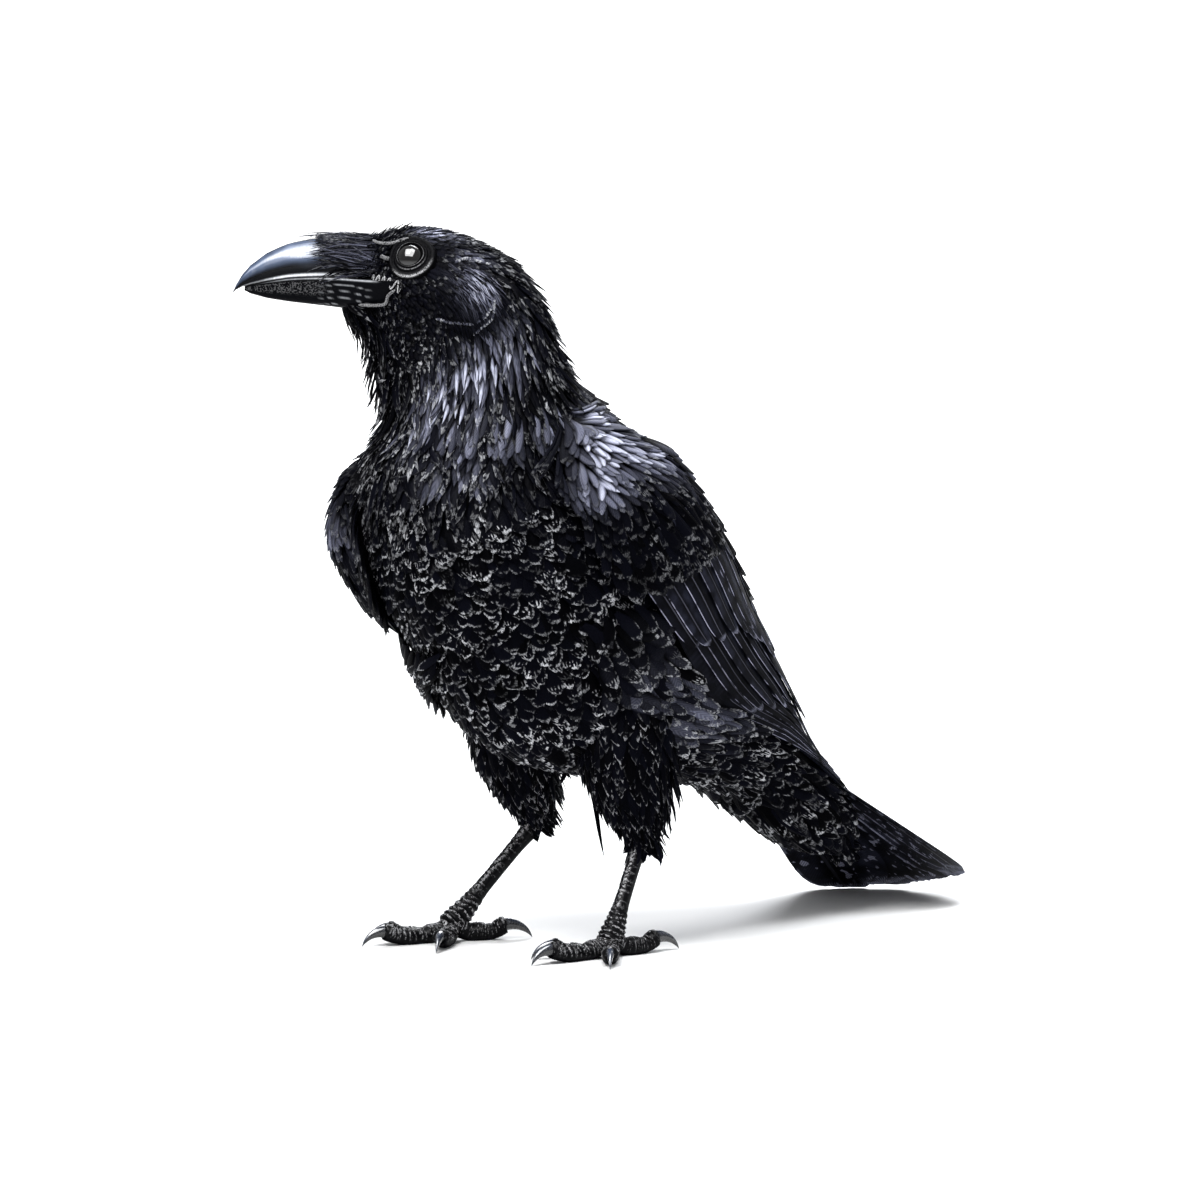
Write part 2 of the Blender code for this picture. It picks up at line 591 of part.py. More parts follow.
def stand_on_origin():
    """Carries every piece on one empty, so that the bottom centre of the bounding box is the origin."""
    shown = [each for each in bpy.data.objects if not each.hide_render and not any(each.location)]
    points = np.concatenate([np.array([point.co for point in each.data.vertices]) for each in shown])
    low, high = points.min(axis=0), points.max(axis=0)
    carrier = bpy.data.objects.new("bird", None)
    bpy.context.scene.collection.objects.link(carrier)
    carrier.location = (-(low[0] + high[0]) / 2, -(low[1] + high[1]) / 2, -FLOOR)
    for each in bpy.data.objects:
        if each is not carrier:
            each.parent = carrier


def main():
    for old in list(bpy.data.objects):
        bpy.data.objects.remove(old)
    trunk = build_flesh()
    build_eyes(bpy.data.objects["head"])
    build_bill(bpy.data.objects["head"])
    build_wing("left")
    build_wing("right")
    build_mantle()
    build_tail(trunk)
    build_legs(trunk)
    stand_on_origin()


main()
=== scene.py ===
"""A raven at rest, life size: skin, coat, flight feathers, bill, eyes and feet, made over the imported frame.

Everything is in metres with +Z up, apart from the tables of feather sizes. The bird faces -Y, its left side
is +X, and its head is turned to its right. Skin and feathers stand on forms: smooth surfaces with two
parameters, u the way the plumage lies and v across it.
"""

import logging
from collections.abc import Callable
from dataclasses import dataclass, field
from enum import Enum
from typing import Any

import bpy
import numpy as np
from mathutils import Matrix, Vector


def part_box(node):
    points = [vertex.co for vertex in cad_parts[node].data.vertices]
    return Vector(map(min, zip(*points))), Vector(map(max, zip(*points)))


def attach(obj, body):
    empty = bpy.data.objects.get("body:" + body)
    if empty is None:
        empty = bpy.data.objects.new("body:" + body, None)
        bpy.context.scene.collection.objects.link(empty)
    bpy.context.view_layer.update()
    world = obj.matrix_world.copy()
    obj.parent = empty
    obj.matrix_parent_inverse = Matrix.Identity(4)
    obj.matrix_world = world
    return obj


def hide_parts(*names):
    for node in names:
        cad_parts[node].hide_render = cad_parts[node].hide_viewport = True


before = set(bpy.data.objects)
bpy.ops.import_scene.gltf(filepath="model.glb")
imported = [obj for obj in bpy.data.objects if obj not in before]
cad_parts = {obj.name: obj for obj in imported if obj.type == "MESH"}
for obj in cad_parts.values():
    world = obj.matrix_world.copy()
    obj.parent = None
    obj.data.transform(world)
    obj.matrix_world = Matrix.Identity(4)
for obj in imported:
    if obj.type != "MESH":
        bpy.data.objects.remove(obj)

Array = np.ndarray
Pair = tuple[float, float]
Triple = tuple[float, float, float]
Colour = Triple
Material = bpy.types.Material
Object = bpy.types.Object
Socket = bpy.types.NodeSocket
Rows = tuple[tuple[float, ...], ...]
LOG = logging.getLogger("raven")
UP = np.array([0.0, 0.0, 1.0])
ROOT_BODY = "root"
CIRCLE = (-180.0, 180.0)
SIDES = {"left": 1, "right": -1}
FULL_TURN = 6.2832


# ---------------- curves


def smooth(rows: Any, at: Any) -> Array:
    """Reads evenly numbered rows at any place, on a Catmull-Rom curve through them.

    Args:
        rows: One row of numbers for each whole place.
        at: Places to read, of any shape.

    Returns:
        An array of the shape of at, with the columns of rows last.
    """
    table = np.asarray(rows, float)
    at = np.clip(np.asarray(at, float), 0.0, len(table) - 1.0)
    low = np.minimum(at.astype(int), len(table) - 2)
    part = (at - low)[..., None]
    before, after = np.maximum(low - 1, 0), np.minimum(low + 2, len(table) - 1)
    p0, p1, p2, p3 = table[before], table[low], table[low + 1], table[after]
    return 0.5 * (2 * p1 + (p2 - p0) * part + (2 * p0 - 5 * p1 + 4 * p2 - p3) * part**2
                  + (3 * p1 - p0 - 3 * p2 + p3) * part**3)


def between(rows: Any, at: Any) -> Array:
    """Reads a table whose first column is the place, in rising order, by smooth steps between its rows.

    Args:
        rows: The table.
        at: Places to read.

    Returns:
        The other columns at each place.
    """
    table = np.asarray(rows, float)
    return smooth(table[:, 1:], np.interp(at, table[:, 0], np.arange(len(table))))


def columns(values: Array) -> Array:
    """Swaps the last axis to the front, so that the columns of a table can be given names."""
    return np.moveaxis(values, -1, 0)


def step_up(low: float, high: float, at: Array) -> Array:
    """A smooth step: 0 up to low, 1 from high on, and 3x² - 2x³ between them. low may be the larger."""
    share = np.clip((at - low) / (high - low), 0.0, 1.0)
    return share * share * (3.0 - 2.0 * share)


def bell(at: Array, middle: Any, spread: Any) -> Array:
    """A bell curve: exp(-((at - middle) / spread)²)."""
    return np.exp(-(((at - middle) / spread) ** 2))


def areas(patches: Rows, u: Array, v: Array) -> Array:
    """Strength of some soft-edged areas on a form.

    Args:
        patches: For each area the u and v of its middle, its spreads along u and v, and its strength.
        u: Places along the form.
        v: Places across it.

    Returns:
        The sum of strength x exp(-(du / spread)² - (dv / spread)²).
    """
    total = np.zeros(u.shape)
    for at_u, at_v, spread_u, spread_v, strength in patches:
        total = total + strength * np.exp(-(((u - at_u) / spread_u) ** 2) - ((v - at_v) / spread_v) ** 2)
    return total


def side_height(around: Array) -> Array:
    """Folds an angle round the trunk onto one side: 90 is the back, 0 the flank and -90 the belly."""
    return np.degrees(np.arcsin(np.sin(np.radians(around))))


def on_side(angle: Any, side: int) -> Any:
    """An angle round the trunk as it is on the left side, 1, or mirrored onto the right one, -1."""
    return angle if side > 0 else 180.0 - angle


def box_middle(node: str) -> Array:
    """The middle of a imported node's box."""
    low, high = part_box(node)
    return (np.array(low) + np.array(high)) / 2


# ---------------- forms


class Form:
    """A smooth surface with two parameters. A subclass gives raw, its steps, its facing and its chart."""

    steps: Pair = (0.02, 0.5)
    facing: float = 1.0
    chart: tuple[Pair, Pair] = ((0.0, 1.0), (0.0, 1.0))
    chart_edge = 0.02

    def raw(self, u: Array, v: Array) -> Array:
        """Points of the bare surface."""
        raise NotImplementedError

    def relief(self, u: Array, v: Array) -> Array:
        """Height of the surface's own swellings over the raw one."""
        return np.zeros(np.broadcast(u, v).shape)

    def tangents(self, u: Array, v: Array) -> tuple[Array, Array]:
        """What the raw surface runs over two steps of u, and over two of v."""
        du, dv = self.steps
        return self.raw(u + du, v) - self.raw(u - du, v), self.raw(u, v + dv) - self.raw(u, v - dv)

    def points(self, u: Any, v: Any, lift: Any = 0.0) -> Array:
        """Points a height of lift over the surface: raw + (relief + lift) x the unit normal.

        Args:
            u: Places along the lie of the plumage.
            v: Places across it.
            lift: Height square to the surface.

        Returns:
            Points with x, y and z last.
        """
        u, v = np.broadcast_arrays(np.asarray(u, float), np.asarray(v, float))
        normal = np.cross(*self.tangents(u, v)) * self.facing
        normal /= np.maximum(np.linalg.norm(normal, axis=-1, keepdims=True), 1e-15)
        return self.raw(u, v) + normal * (self.relief(u, v) + np.asarray(lift, float))[..., None]

    def scale(self, u: Array, v: Array) -> tuple[Array, Array]:
        """Metres that the surface runs for one unit of u, and for one unit of v.

        Args:
            u: Places along the lie of the plumage.
            v: Places across it.

        Returns:
            Both runs, from the tangents' lengths.
        """
        along, across = (np.linalg.norm(run, axis=-1) / (2 * step)
                         for run, step in zip(self.tangents(u, v), self.steps))
        return np.maximum(along, 1e-3), np.maximum(across, 2e-5)

    def unwrap(self, u: Array, v: Array) -> Array:
        """The place of (u, v) on a flat map of the form. A whole circle wraps round.

        Args:
            u: Places along the lie of the plumage.
            v: Places across it.

        Returns:
            Places from 0 to 1 each way.
        """
        (first_u, last_u), (first_v, last_v) = self.chart
        wrapped = (v - first_v) % (last_v - first_v) if last_v - first_v >= 360.0 else v - first_v
        flat = [(u - first_u) / (last_u - first_u), wrapped / (last_v - first_v)]
        return self.chart_edge + (1.0 - 2 * self.chart_edge) * np.clip(np.stack(flat, axis=-1), 0.0, 1.0)


class Trunk(Form):
    """Head, neck and body as one hull of rings. u is the station, v the degrees round: 0 left, 90 back.

    A ring's points are half width x cos v, and the middle of its back and belly points + sin v x half their
    difference, turned about the neck's upright line by the ring's share of the head's turn.
    """

    chart = ((-2.5, 20.0), (-180.0, 180.0))
    head_turn = 40.0
    neck_pivot = -0.04
    lead = 2.0  # rings ahead of station 0, along the bill, for the bristles
    taper_start, taper_end, taper_least = 16.0, 18.7, 0.3
    # back line (y, z), belly line (y, z), half width, share of the head's turn, egg shape
    stations = {
        "bill_middle": (-0.1290, 0.3893, -0.1320, 0.3560, 0.0093, 1.00, 0.00),
        "bill_base": (-0.1130, 0.3900, -0.1190, 0.3545, 0.0120, 1.00, 0.00),
        "bill_root": (-0.1025, 0.3850, -0.1125, 0.3520, 0.0150, 1.00, 0.00),
        "lores": (-0.0950, 0.3905, -0.1055, 0.3450, 0.0195, 1.00, -0.10),
        "eyes": (-0.0825, 0.3945, -0.0975, 0.3365, 0.0245, 1.00, -0.20),
        "crown": (-0.0645, 0.3965, -0.0915, 0.3245, 0.0285, 1.00, -0.24),
        "nape": (-0.0402, 0.3915, -0.0897, 0.3110, 0.0325, 0.95, -0.14),
        "hind_neck": (-0.0180, 0.3795, -0.0900, 0.2975, 0.0365, 0.82, 0.00),
        "mid_neck": (-0.0015, 0.3580, -0.0930, 0.2820, 0.0410, 0.62, 0.05),
        "low_neck": (0.0090, 0.3310, -0.0960, 0.2660, 0.0465, 0.42, 0.08),
        "shoulders": (0.0250, 0.3040, -0.0975, 0.2460, 0.0560, 0.22, 0.08),
        "upper_breast": (0.0520, 0.2770, -0.0950, 0.2220, 0.0650, 0.08, 0.06),
        "breast": (0.0780, 0.2460, -0.0840, 0.1930, 0.0690, 0.00, 0.04),
        "lower_breast": (0.1000, 0.2130, -0.0660, 0.1640, 0.0680, 0.00, 0.02),
        "belly": (0.1180, 0.1830, -0.0480, 0.1350, 0.0630, 0.00, 0.00),
        "lower_belly": (0.1340, 0.1560, -0.0180, 0.1080, 0.0560, 0.00, 0.00),
        "vent": (0.1480, 0.1350, 0.0350, 0.0920, 0.0500, 0.00, 0.00),
        "rump": (0.1630, 0.1170, 0.0800, 0.0870, 0.0450, 0.00, 0.00),
        "tail_base": (0.1820, 0.0980, 0.1190, 0.0760, 0.0400, 0.00, 0.00),
        "tail_coverts": (0.2020, 0.0800, 0.1480, 0.0570, 0.0370, 0.00, 0.00),
        "wing_tips": (0.2240, 0.0610, 0.1760, 0.0350, 0.0360, 0.00, 0.00),
        "tail_middle": (0.2460, 0.0430, 0.2040, 0.0130, 0.0350, 0.00, 0.00),
    }
    # swellings and hollows, the same on both sides: station, degrees, spreads, height
    swellings = {
        "brow": (2.35, 60.0, 0.75, 11.0, 0.0012),
        "lore": (1.65, 28.0, 0.45, 17.0, -0.0012),
        "cheek": (3.3, -8.0, 0.8, 32.0, 0.0016),
        "throat": (3.4, -90.0, 1.2, 35.0, 0.002),
        "gullet": (5.5, -90.0, 0.9, 60.0, -0.0045),
        "crown": (2.9, 90.0, 1.2, 34.0, 0.0013),
    }
    # how deep the skin lies under the coat's outside, by station
    coat_depths = ((0.0, 0.003), (1.0, 0.0034), (2.0, 0.0026), (3.0, 0.002), (4.5, 0.003), (6.0, 0.0045),
                   (8.0, 0.006), (16.0, 0.006), (18.7, 0.005))

    def __init__(self) -> None:
        """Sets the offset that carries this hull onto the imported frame, from where the left eye is."""
        self.offset = np.zeros(3)
        self.offset = box_middle("eye_left") - self.points(*EyeBall.place, -EyeBall.sunk)

    def turned(self, x: Array, y: Array, z: Array, share: Any = 1.0) -> Array:
        """Turns points of the straight bird with its head, and carries them onto the frame.

        Args:
            x: Places to the left.
            y: Places back.
            z: Heights.
            share: Share of the head's turn.

        Returns:
            The points.
        """
        angle = -np.radians(self.head_turn) * share
        ahead = y - self.neck_pivot
        across = x * np.cos(angle) - ahead * np.sin(angle)
        back = x * np.sin(angle) + ahead * np.cos(angle) + self.neck_pivot
        return np.stack(np.broadcast_arrays(across, back, z), axis=-1) + self.offset

    def raw(self, u: Array, v: Array) -> Array:
        """Points of the hull without its swellings.

        Args:
            u: Stations.
            v: Degrees round the hull.

        Returns:
            The points.
        """
        row = smooth(list(self.stations.values()), u + self.lead)
        back_y, back_z, belly_y, belly_z, width, turn, egg = columns(row)
        share = np.clip((u - self.taper_start) / (self.taper_end - self.taper_start), 0.0, 1.0)
        keep = np.maximum(np.sqrt(1.0 - share**3), self.taper_least)
        cosine, sine = np.cos(np.radians(v)), np.sin(np.radians(v))
        x = keep * width * cosine * (1.0 - egg * sine)
        y = (back_y + belly_y) / 2 + keep * sine * (back_y - belly_y) / 2
        z = (back_z + belly_z) / 2 + keep * sine * (back_z - belly_z) / 2
        return self.turned(x, y, z, turn)

    def relief(self, u: Array, v: Array) -> Array:
        """Sum of the swellings: height x exp(-(distance along / spread)² - (degrees / spread)²).

        Args:
            u: Stations.
            v: Degrees round the hull.

        Returns:
            Heights over the raw hull.
        """
        total = np.zeros(np.broadcast(u, v).shape)
        for centre, angle, along, across, height in self.swellings.values():
            off = np.minimum(np.abs((v - angle + 180.0) % 360.0 - 180.0), np.abs((v + angle) % 360.0 - 180.0))
            total = total + height * np.exp(-((u - centre) / along) ** 2 - (off / across) ** 2)
        return total

    def depth(self, u: Array) -> Array:
        """How deep the skin lies under the coat's outside."""
        return between(self.coat_depths, u)[..., 0]


@dataclass
class FoldedWing(Form):
    """A folded wing over the trunk. u is the trunk's station, v runs from its lower edge, 0, to its upper, 1.

    It lies the row's height x the tier's share x (1 - fall |(v - peak) / span|^fall_power) over the trunk.
    """

    trunk: Trunk
    side: int  # 1 for the left wing, -1 for the right one
    steps = (0.02, 0.01)
    chart = ((7.0, 18.5), (-0.2, 1.2))
    tier_places = (7.6, 11.8, 14.9, 17.5)
    tier_shares = (1.0, 0.81, 0.64, 0.5)
    fall, fall_power = 0.68, 2.4
    least_height = 0.0039
    hiding = (8.5, 16.6)  # the stations between which it hides the trunk
    # station, lower and upper edge in degrees round the trunk, height, place of the thickest line across
    rear_rows = ((15.0, 20.0, 84.0, 0.0175, 0.6), (16.0, 27.0, 80.0, 0.0085, 0.5),
                 (17.0, 34.0, 70.0, 0.0045, 0.5), (17.5, 40.0, 58.0, 0.0034, 0.5))
    rows = {
        1: ((7.8, 27.0, 41.0, 0.0036, 0.5), (8.1, 16.0, 52.0, 0.0085, 0.5), (8.6, 8.0, 61.0, 0.015, 0.5),
            (9.3, 6.0, 70.0, 0.023, 0.5), (10.5, 6.0, 76.0, 0.0235, 0.55), (12.0, 8.0, 80.0, 0.0215, 0.6),
            (13.0, 11.0, 82.0, 0.024, 0.62), (14.0, 15.0, 84.0, 0.023, 0.62), *rear_rows),
        -1: ((7.6, -16.0, 8.0, 0.004, 0.45), (7.8, -30.0, 25.0, 0.012, 0.36),
             (8.2, -48.0, 46.0, 0.0235, 0.24), (9.1, -62.0, 68.0, 0.0275, 0.18),
             (10.2, -57.0, 75.0, 0.024, 0.24), (11.2, -43.0, 78.0, 0.0225, 0.36),
             (12.2, -18.0, 80.0, 0.022, 0.55), (13.2, 4.0, 82.0, 0.024, 0.62),
             (14.2, 15.0, 84.0, 0.0225, 0.62), *rear_rows),
    }

    @property
    def facing(self) -> float:
        """Which way its normals are turned."""
        return float(self.side)

    @property
    def bend(self) -> float:
        """The station of its front end."""
        return self.rows[self.side][0][0]

    def edges(self, u: Array) -> tuple[Array, Array]:
        """The wing's lower and upper edge in degrees up from its own side."""
        row = between(self.rows[self.side], u)
        return row[..., 0], row[..., 1]

    def raw(self, u: Array, v: Array) -> Array:
        """Points of the wing's smooth outside.

        Args:
            u: Stations.
            v: Shares from the lower edge to the upper one.

        Returns:
            The points.
        """
        lower, upper, height, peak = columns(between(self.rows[self.side], u))
        inside = np.clip(v, 0.0, 1.0)
        span = np.where(inside < peak, peak, 1.0 - peak)
        share = np.interp(u, self.tier_places, self.tier_shares)
        lift = height * share * (1.0 - self.fall * np.abs((inside - peak) / span) ** self.fall_power)
        around = on_side(lower + (upper - lower) * v, self.side)
        return self.trunk.points(u, around, np.maximum(lift, self.least_height))

    def covers(self, u: Array, v: Array, margin: float) -> Array:
        """Tells where the wing hides the trunk.

        Args:
            u: Stations.
            v: Degrees round the trunk.
            margin: How far inside the wing's edges, in degrees.

        Returns:
            True where it does.
        """
        lower, upper = self.edges(u)
        own = on_side(v, self.side) % 360.0
        own = np.where(own > 180.0, own - 360.0, own)
        first, last = self.hiding
        return (u > first) & (u < last) & (own > lower + margin) & (own < upper - margin)


@dataclass
class Cape(Form):
    """The mantle's outside: the trunk's back between the wings, raised by base + hump x sin^0.8 along it."""

    trunk: Trunk
    chart = ((7.0, 16.0), (20.0, 160.0))
    base, hump = 0.0018, 0.006
    start, run = 7.4, 6.8  # stations
    half_width = 42.0  # degrees
    edge_fall = 0.6

    def raw(self, u: Array, v: Array) -> Array:
        """Points of the cape: base + hump x sin^0.8 along it, falling to the sides by a cube.

        Args:
            u: Places along the lie of the plumage.
            v: Places across it.

        Returns:
            The points.
        """
        arch = np.sin(np.pi * np.clip((u - self.start) / self.run, 0.0, 1.0)) ** 0.8
        aside = np.clip(np.abs(v - 90.0) / self.half_width, 0.0, 1.0)
        return self.trunk.points(u, v, (self.base + self.hump * arch) * (1.0 - self.edge_fall * aside**3))


@dataclass
class Thigh(Form):
    """A feathered thigh: a bag of rings. u runs from its top, 0, to the hock, 1, and on down the shank."""

    leg: "Leg"
    offset: Array
    steps = (0.01, 1.0)
    chart = ((-0.1, 1.5), (-180.0, 180.0))
    facing = -1.0
    bow = -0.005
    wide = 0.88

    def raw(self, u: Array, v: Array) -> Array:
        """Rings square to a line from the thigh's top to the hock, bowed forward by sin.

        Args:
            u: Shares of the way down.
            v: Degrees round the thigh.

        Returns:
            The points.
        """
        top, hock = np.array(self.leg.thigh), np.array(self.leg.hock)
        share = np.clip(u, -0.1, None)
        line = top + (hock - top) * share[..., None]
        line = line + np.array([0.0, self.bow, 0.0]) * np.sin(np.pi * np.clip(share, 0, 1))[..., None]
        radius = smooth(np.array(self.leg.radii)[:, None], share * (len(self.leg.radii) - 1))[..., 0]
        radius = radius * np.clip(1.0 - 0.5 * (share - 1.0), 0.6, 1.0)
        tangent = (hock - top) / np.linalg.norm(hock - top)
        across = np.array([1.0, 0.0, 0.0]) - tangent * tangent[0]
        across /= np.linalg.norm(across)
        ahead = np.cross(tangent, across)
        spread = (self.wide * np.cos(np.radians(v)) * radius)[..., None] * across
        return line + spread + (np.sin(np.radians(v)) * radius)[..., None] * ahead + self.offset


@dataclass
class Fan(Form):
    """The spread tail. u is the distance from its root, v runs from its right edge, -1, to its left, 1."""

    offset: Array
    steps = (0.001, 0.01)
    chart = ((0.0, 0.2), (-1.2, 1.2))
    facing = -1.0
    root = (0.0, 0.15, 0.1075)
    pitch, roll, yaw = 36.2, 14.0, 3.5
    spread = 15.5
    length = 0.172
    root_breadth, tip_breadth = 0.011, 0.004
    arch = 0.01

    def axes(self) -> tuple[Array, Array, Array]:
        """The way the tail points, its left side and its upper side, from its pitch, roll and yaw."""
        pitch, roll, yaw = np.radians([self.pitch, self.roll, self.yaw])
        level = np.array([-np.sin(yaw), np.cos(yaw), 0.0])
        left = np.array([np.cos(yaw), np.sin(yaw), 0.0])
        away = level * np.cos(pitch) - UP * np.sin(pitch)
        upper = level * np.sin(pitch) + UP * np.cos(pitch)
        return away, left * np.cos(roll) + upper * np.sin(roll), upper * np.cos(roll) - left * np.sin(roll)

    def raw(self, u: Array, v: Array) -> Array:
        """root + u x (cos a x away + sin a x left) + breadth x left - arch x upper, a being the fan's angle.

        Args:
            u: Distances from the root.
            v: Places across.

        Returns:
            The points.
        """
        away, left, upper = self.axes()
        angle = np.radians(self.spread) * v
        share = np.clip(u / self.length, 0.0, 1.0)
        breadth = (self.root_breadth * (1.0 - share) + self.tip_breadth * share) * v
        arch = -self.arch * v**2 * (0.4 + 0.6 * share)
        flat = (u * np.cos(angle))[..., None] * away + (u * np.sin(angle) + breadth)[..., None] * left
        return np.array(self.root) + flat + arch[..., None] * upper + self.offset


@dataclass
class Snout(Form):
    """The base of the upper bill and the forehead, for bristles. u runs forward from the forehead, 0, to 1.

    v runs from the right cutting edge, -1, over the top, 0, to the left one, 1: x is half width x sin(90v),
    and z is the edge's height + (top - edge) x cos^0.85.
    """

    trunk: Trunk
    steps = (0.01, 0.01)
    chart = ((-0.3, 1.6), (-1.4, 1.4))
    # u, y in the unturned head, heights of the top and of the edge, half width
    rows = ((0.0, -0.078, 0.3954, 0.364, 0.0268), (0.2, -0.088, 0.3934, 0.366, 0.0224),
            (0.4, -0.098, 0.392, 0.369, 0.0178), (0.6, -0.11, 0.3922, 0.371, 0.0135),
            (0.8, -0.124, 0.3911, 0.3714, 0.0107), (1.0, -0.14, 0.3874, 0.3704, 0.0086))

    def raw(self, u: Array, v: Array) -> Array:
        """Points of the arch.

        Args:
            u: Places along the lie of the plumage.
            v: Places across it.

        Returns:
            The points.
        """
        y, top, edge, width = columns(between(self.rows, u))
        angle = np.radians(90.0 * v)
        bow = np.sign(np.cos(angle)) * np.abs(np.cos(angle)) ** 0.85
        return self.trunk.turned(width * np.sin(angle), y, edge + (top - edge) * bow)


@dataclass
class Curtain(Form):
    """An upright sheet under the belly, for loose strands. u is metres down and v metres sideways."""

    offset: Array
    steps = (0.001, 0.001)
    chart = ((0.0, 0.1), (-0.1, 0.1))
    top = (0.004, 0.032, 0.104)
    sideways, outward = np.array([0.64, 0.77, 0.0]), np.array([0.77, -0.64, 0.0])
    belly, wave = 0.004, 0.03

    def raw(self, u: Array, v: Array) -> Array:
        """top + v x sideways - u x up, bellied outward by sin.

        Args:
            u: Metres down.
            v: Metres sideways.

        Returns:
            The points.
        """
        belly = self.belly * np.sin(u / self.wave)
        sheet = np.array(self.top) + self.offset + v[..., None] * self.sideways - u[..., None] * UP
        return sheet + belly[..., None] * self.outward


# ---------------- meshes


def ring_quads(rows: int, sides: int, around: bool = False) -> Array:
    """Quads of a tube of rings.

    Args:
        rows: How many rings there are.
        sides: Points in each ring, an even number.
        around: True where the last ring joins the first. Otherwise both ends get a cap of strips.

    Returns:
        Point numbers, four to a quad.
    """
    row = np.arange(rows if around else rows - 1)[:, None]
    side = np.arange(sides)[None, :]
    here, there = row * sides, (row + 1) % rows * sides
    after = (side + 1) % sides
    wall = np.stack([here + side, there + side, there + after, here + after], axis=-1).reshape(-1, 4)
    if around:
        return wall
    strip = np.arange(sides // 2 - 1)[:, None]
    first = np.concatenate([strip, strip + 1, sides - 2 - strip, sides - 1 - strip], axis=1)
    return np.concatenate([wall, first, first[:, ::-1] + (rows - 1) * sides])


def put(name: str, data: bpy.types.ID) -> Object:
    """Puts a new object into the scene, at the origin.

    Args:
        name: Its name.
        data: Its mesh, light or camera.

    Returns:
        The object.
    """
    made = bpy.data.objects.new(name, data)
    bpy.context.scene.collection.objects.link(made)
    return made


@dataclass
class Shape:
    """Points and quads of a mesh in the making, with a colour attribute and UV maps by name."""

    points: Array
    quads: Array
    lay: Array | None = None
    maps: dict[str, Array] = field(default_factory=dict)

    @staticmethod
    def tube(rings: Array, lay: Array | None = None, flip: bool = False, around: bool = False) -> "Shape":
        """A closed shape of rings.

        Args:
            rings: An array of rows, sides and x y z.
            lay: The lay attribute of its points.
            flip: True to turn its faces round.
            around: True where the last ring joins the first.

        Returns:
            The shape.
        """
        quads = ring_quads(rings.shape[0], rings.shape[1], around)
        return Shape(rings.reshape(-1, 3), quads[:, ::-1] if flip else quads, lay)

    @staticmethod
    def joined(shapes: "list[Shape]") -> "Shape":
        """All of the shapes as one, their points renumbered.

        Args:
            shapes: Shapes with the same attributes and maps.

        Returns:
            The one shape.
        """
        starts = np.cumsum([0] + [len(each.points) for each in shapes[:-1]])
        quads = np.concatenate([each.quads + start for each, start in zip(shapes, starts)])
        lay = np.concatenate([each.lay for each in shapes]) if shapes[0].lay is not None else None
        maps = {name: np.concatenate([each.maps[name] for each in shapes]) for name in shapes[0].maps}
        return Shape(np.concatenate([each.points for each in shapes]), quads, lay, maps)

    def build(self, name: str, finish: Material, sharp: float = 60.0) -> Object:
        """Makes the object.

        Args:
            name: The piece's name.
            finish: Its material.
            sharp: Edges over this angle stay sharp, in degrees.

        Returns:
            The new object, at the origin.
        """
        mesh = bpy.data.meshes.new(name)
        mesh.vertices.add(len(self.points))
        mesh.vertices.foreach_set("co", np.ascontiguousarray(self.points, np.float32).ravel())
        corners = np.ascontiguousarray(self.quads, np.int32).ravel()
        mesh.loops.add(len(corners))
        mesh.loops.foreach_set("vertex_index", corners)
        mesh.polygons.add(len(self.quads))
        mesh.polygons.foreach_set("loop_start", np.arange(0, len(corners), 4, dtype=np.int32))
        mesh.update(calc_edges=True)
        for label, places in self.maps.items():
            layer = mesh.uv_layers.new(name=label)
            layer.data.foreach_set("uv", np.ascontiguousarray(places[corners], np.float32).ravel())
        if self.lay is not None:
            attribute = mesh.attributes.new("lay", "FLOAT_COLOR", "POINT")
            attribute.data.foreach_set("color", np.ascontiguousarray(self.lay, np.float32).ravel())
        mesh.shade_smooth()
        mesh.set_sharp_from_angle(angle=np.radians(sharp))
        mesh.materials.append(finish)
        return put(name, mesh)


def turns(sides: int) -> Array:
    """The angles of a ring's points."""
    return (np.arange(sides) + 0.5) * 2 * np.pi / sides


def rings_along(path: Array, radii: Array, sides: int, wide: float = 1.0,
                side_axis: Any = (1.0, 0.0, 0.0)) -> Array:
    """Rings square to a path.

    Args:
        path: Points of the middle line.
        radii: A radius for each point, or for each point and side.
        sides: Points in each ring.
        wide: Widens the rings along side_axis.
        side_axis: The way that side 0 faces, which stops a twist.

    Returns:
        path + radius x (wide cos a x across + sin a x upward), as rows, sides and x y z.
    """
    tangent = np.gradient(path, axis=0)
    tangent /= np.linalg.norm(tangent, axis=1, keepdims=True)
    across = np.asarray(side_axis, float) - tangent * (tangent @ np.asarray(side_axis, float))[:, None]
    across /= np.linalg.norm(across, axis=1, keepdims=True)
    upward = np.cross(across, tangent)
    angle = turns(sides)
    radii = np.broadcast_to(np.asarray(radii, float).reshape(len(path), -1), (len(path), sides))
    return path[:, None] + radii[..., None] * (wide * np.cos(angle)[None, :, None] * across[:, None]
                                               + np.sin(angle)[None, :, None] * upward[:, None])


def lay_of(*channels: Any) -> Array:
    """A lay attribute from up to three channels. Missing ones are 0, and the fourth is 1."""
    parts = np.broadcast_arrays(*channels, *[np.zeros(1)] * (3 - len(channels)), np.ones(1))
    return np.stack([part.reshape(-1) for part in parts], axis=-1)


def declare(piece: Object, slot: str, *nodes: str) -> None:
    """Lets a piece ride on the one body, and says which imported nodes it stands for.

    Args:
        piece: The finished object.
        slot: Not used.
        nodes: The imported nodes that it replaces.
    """
    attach(piece, ROOT_BODY)
    if nodes:
        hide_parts(*nodes)
    LOG.info("%s: %d faces", piece.name, len(piece.data.polygons))


# ---------------- shader sockets


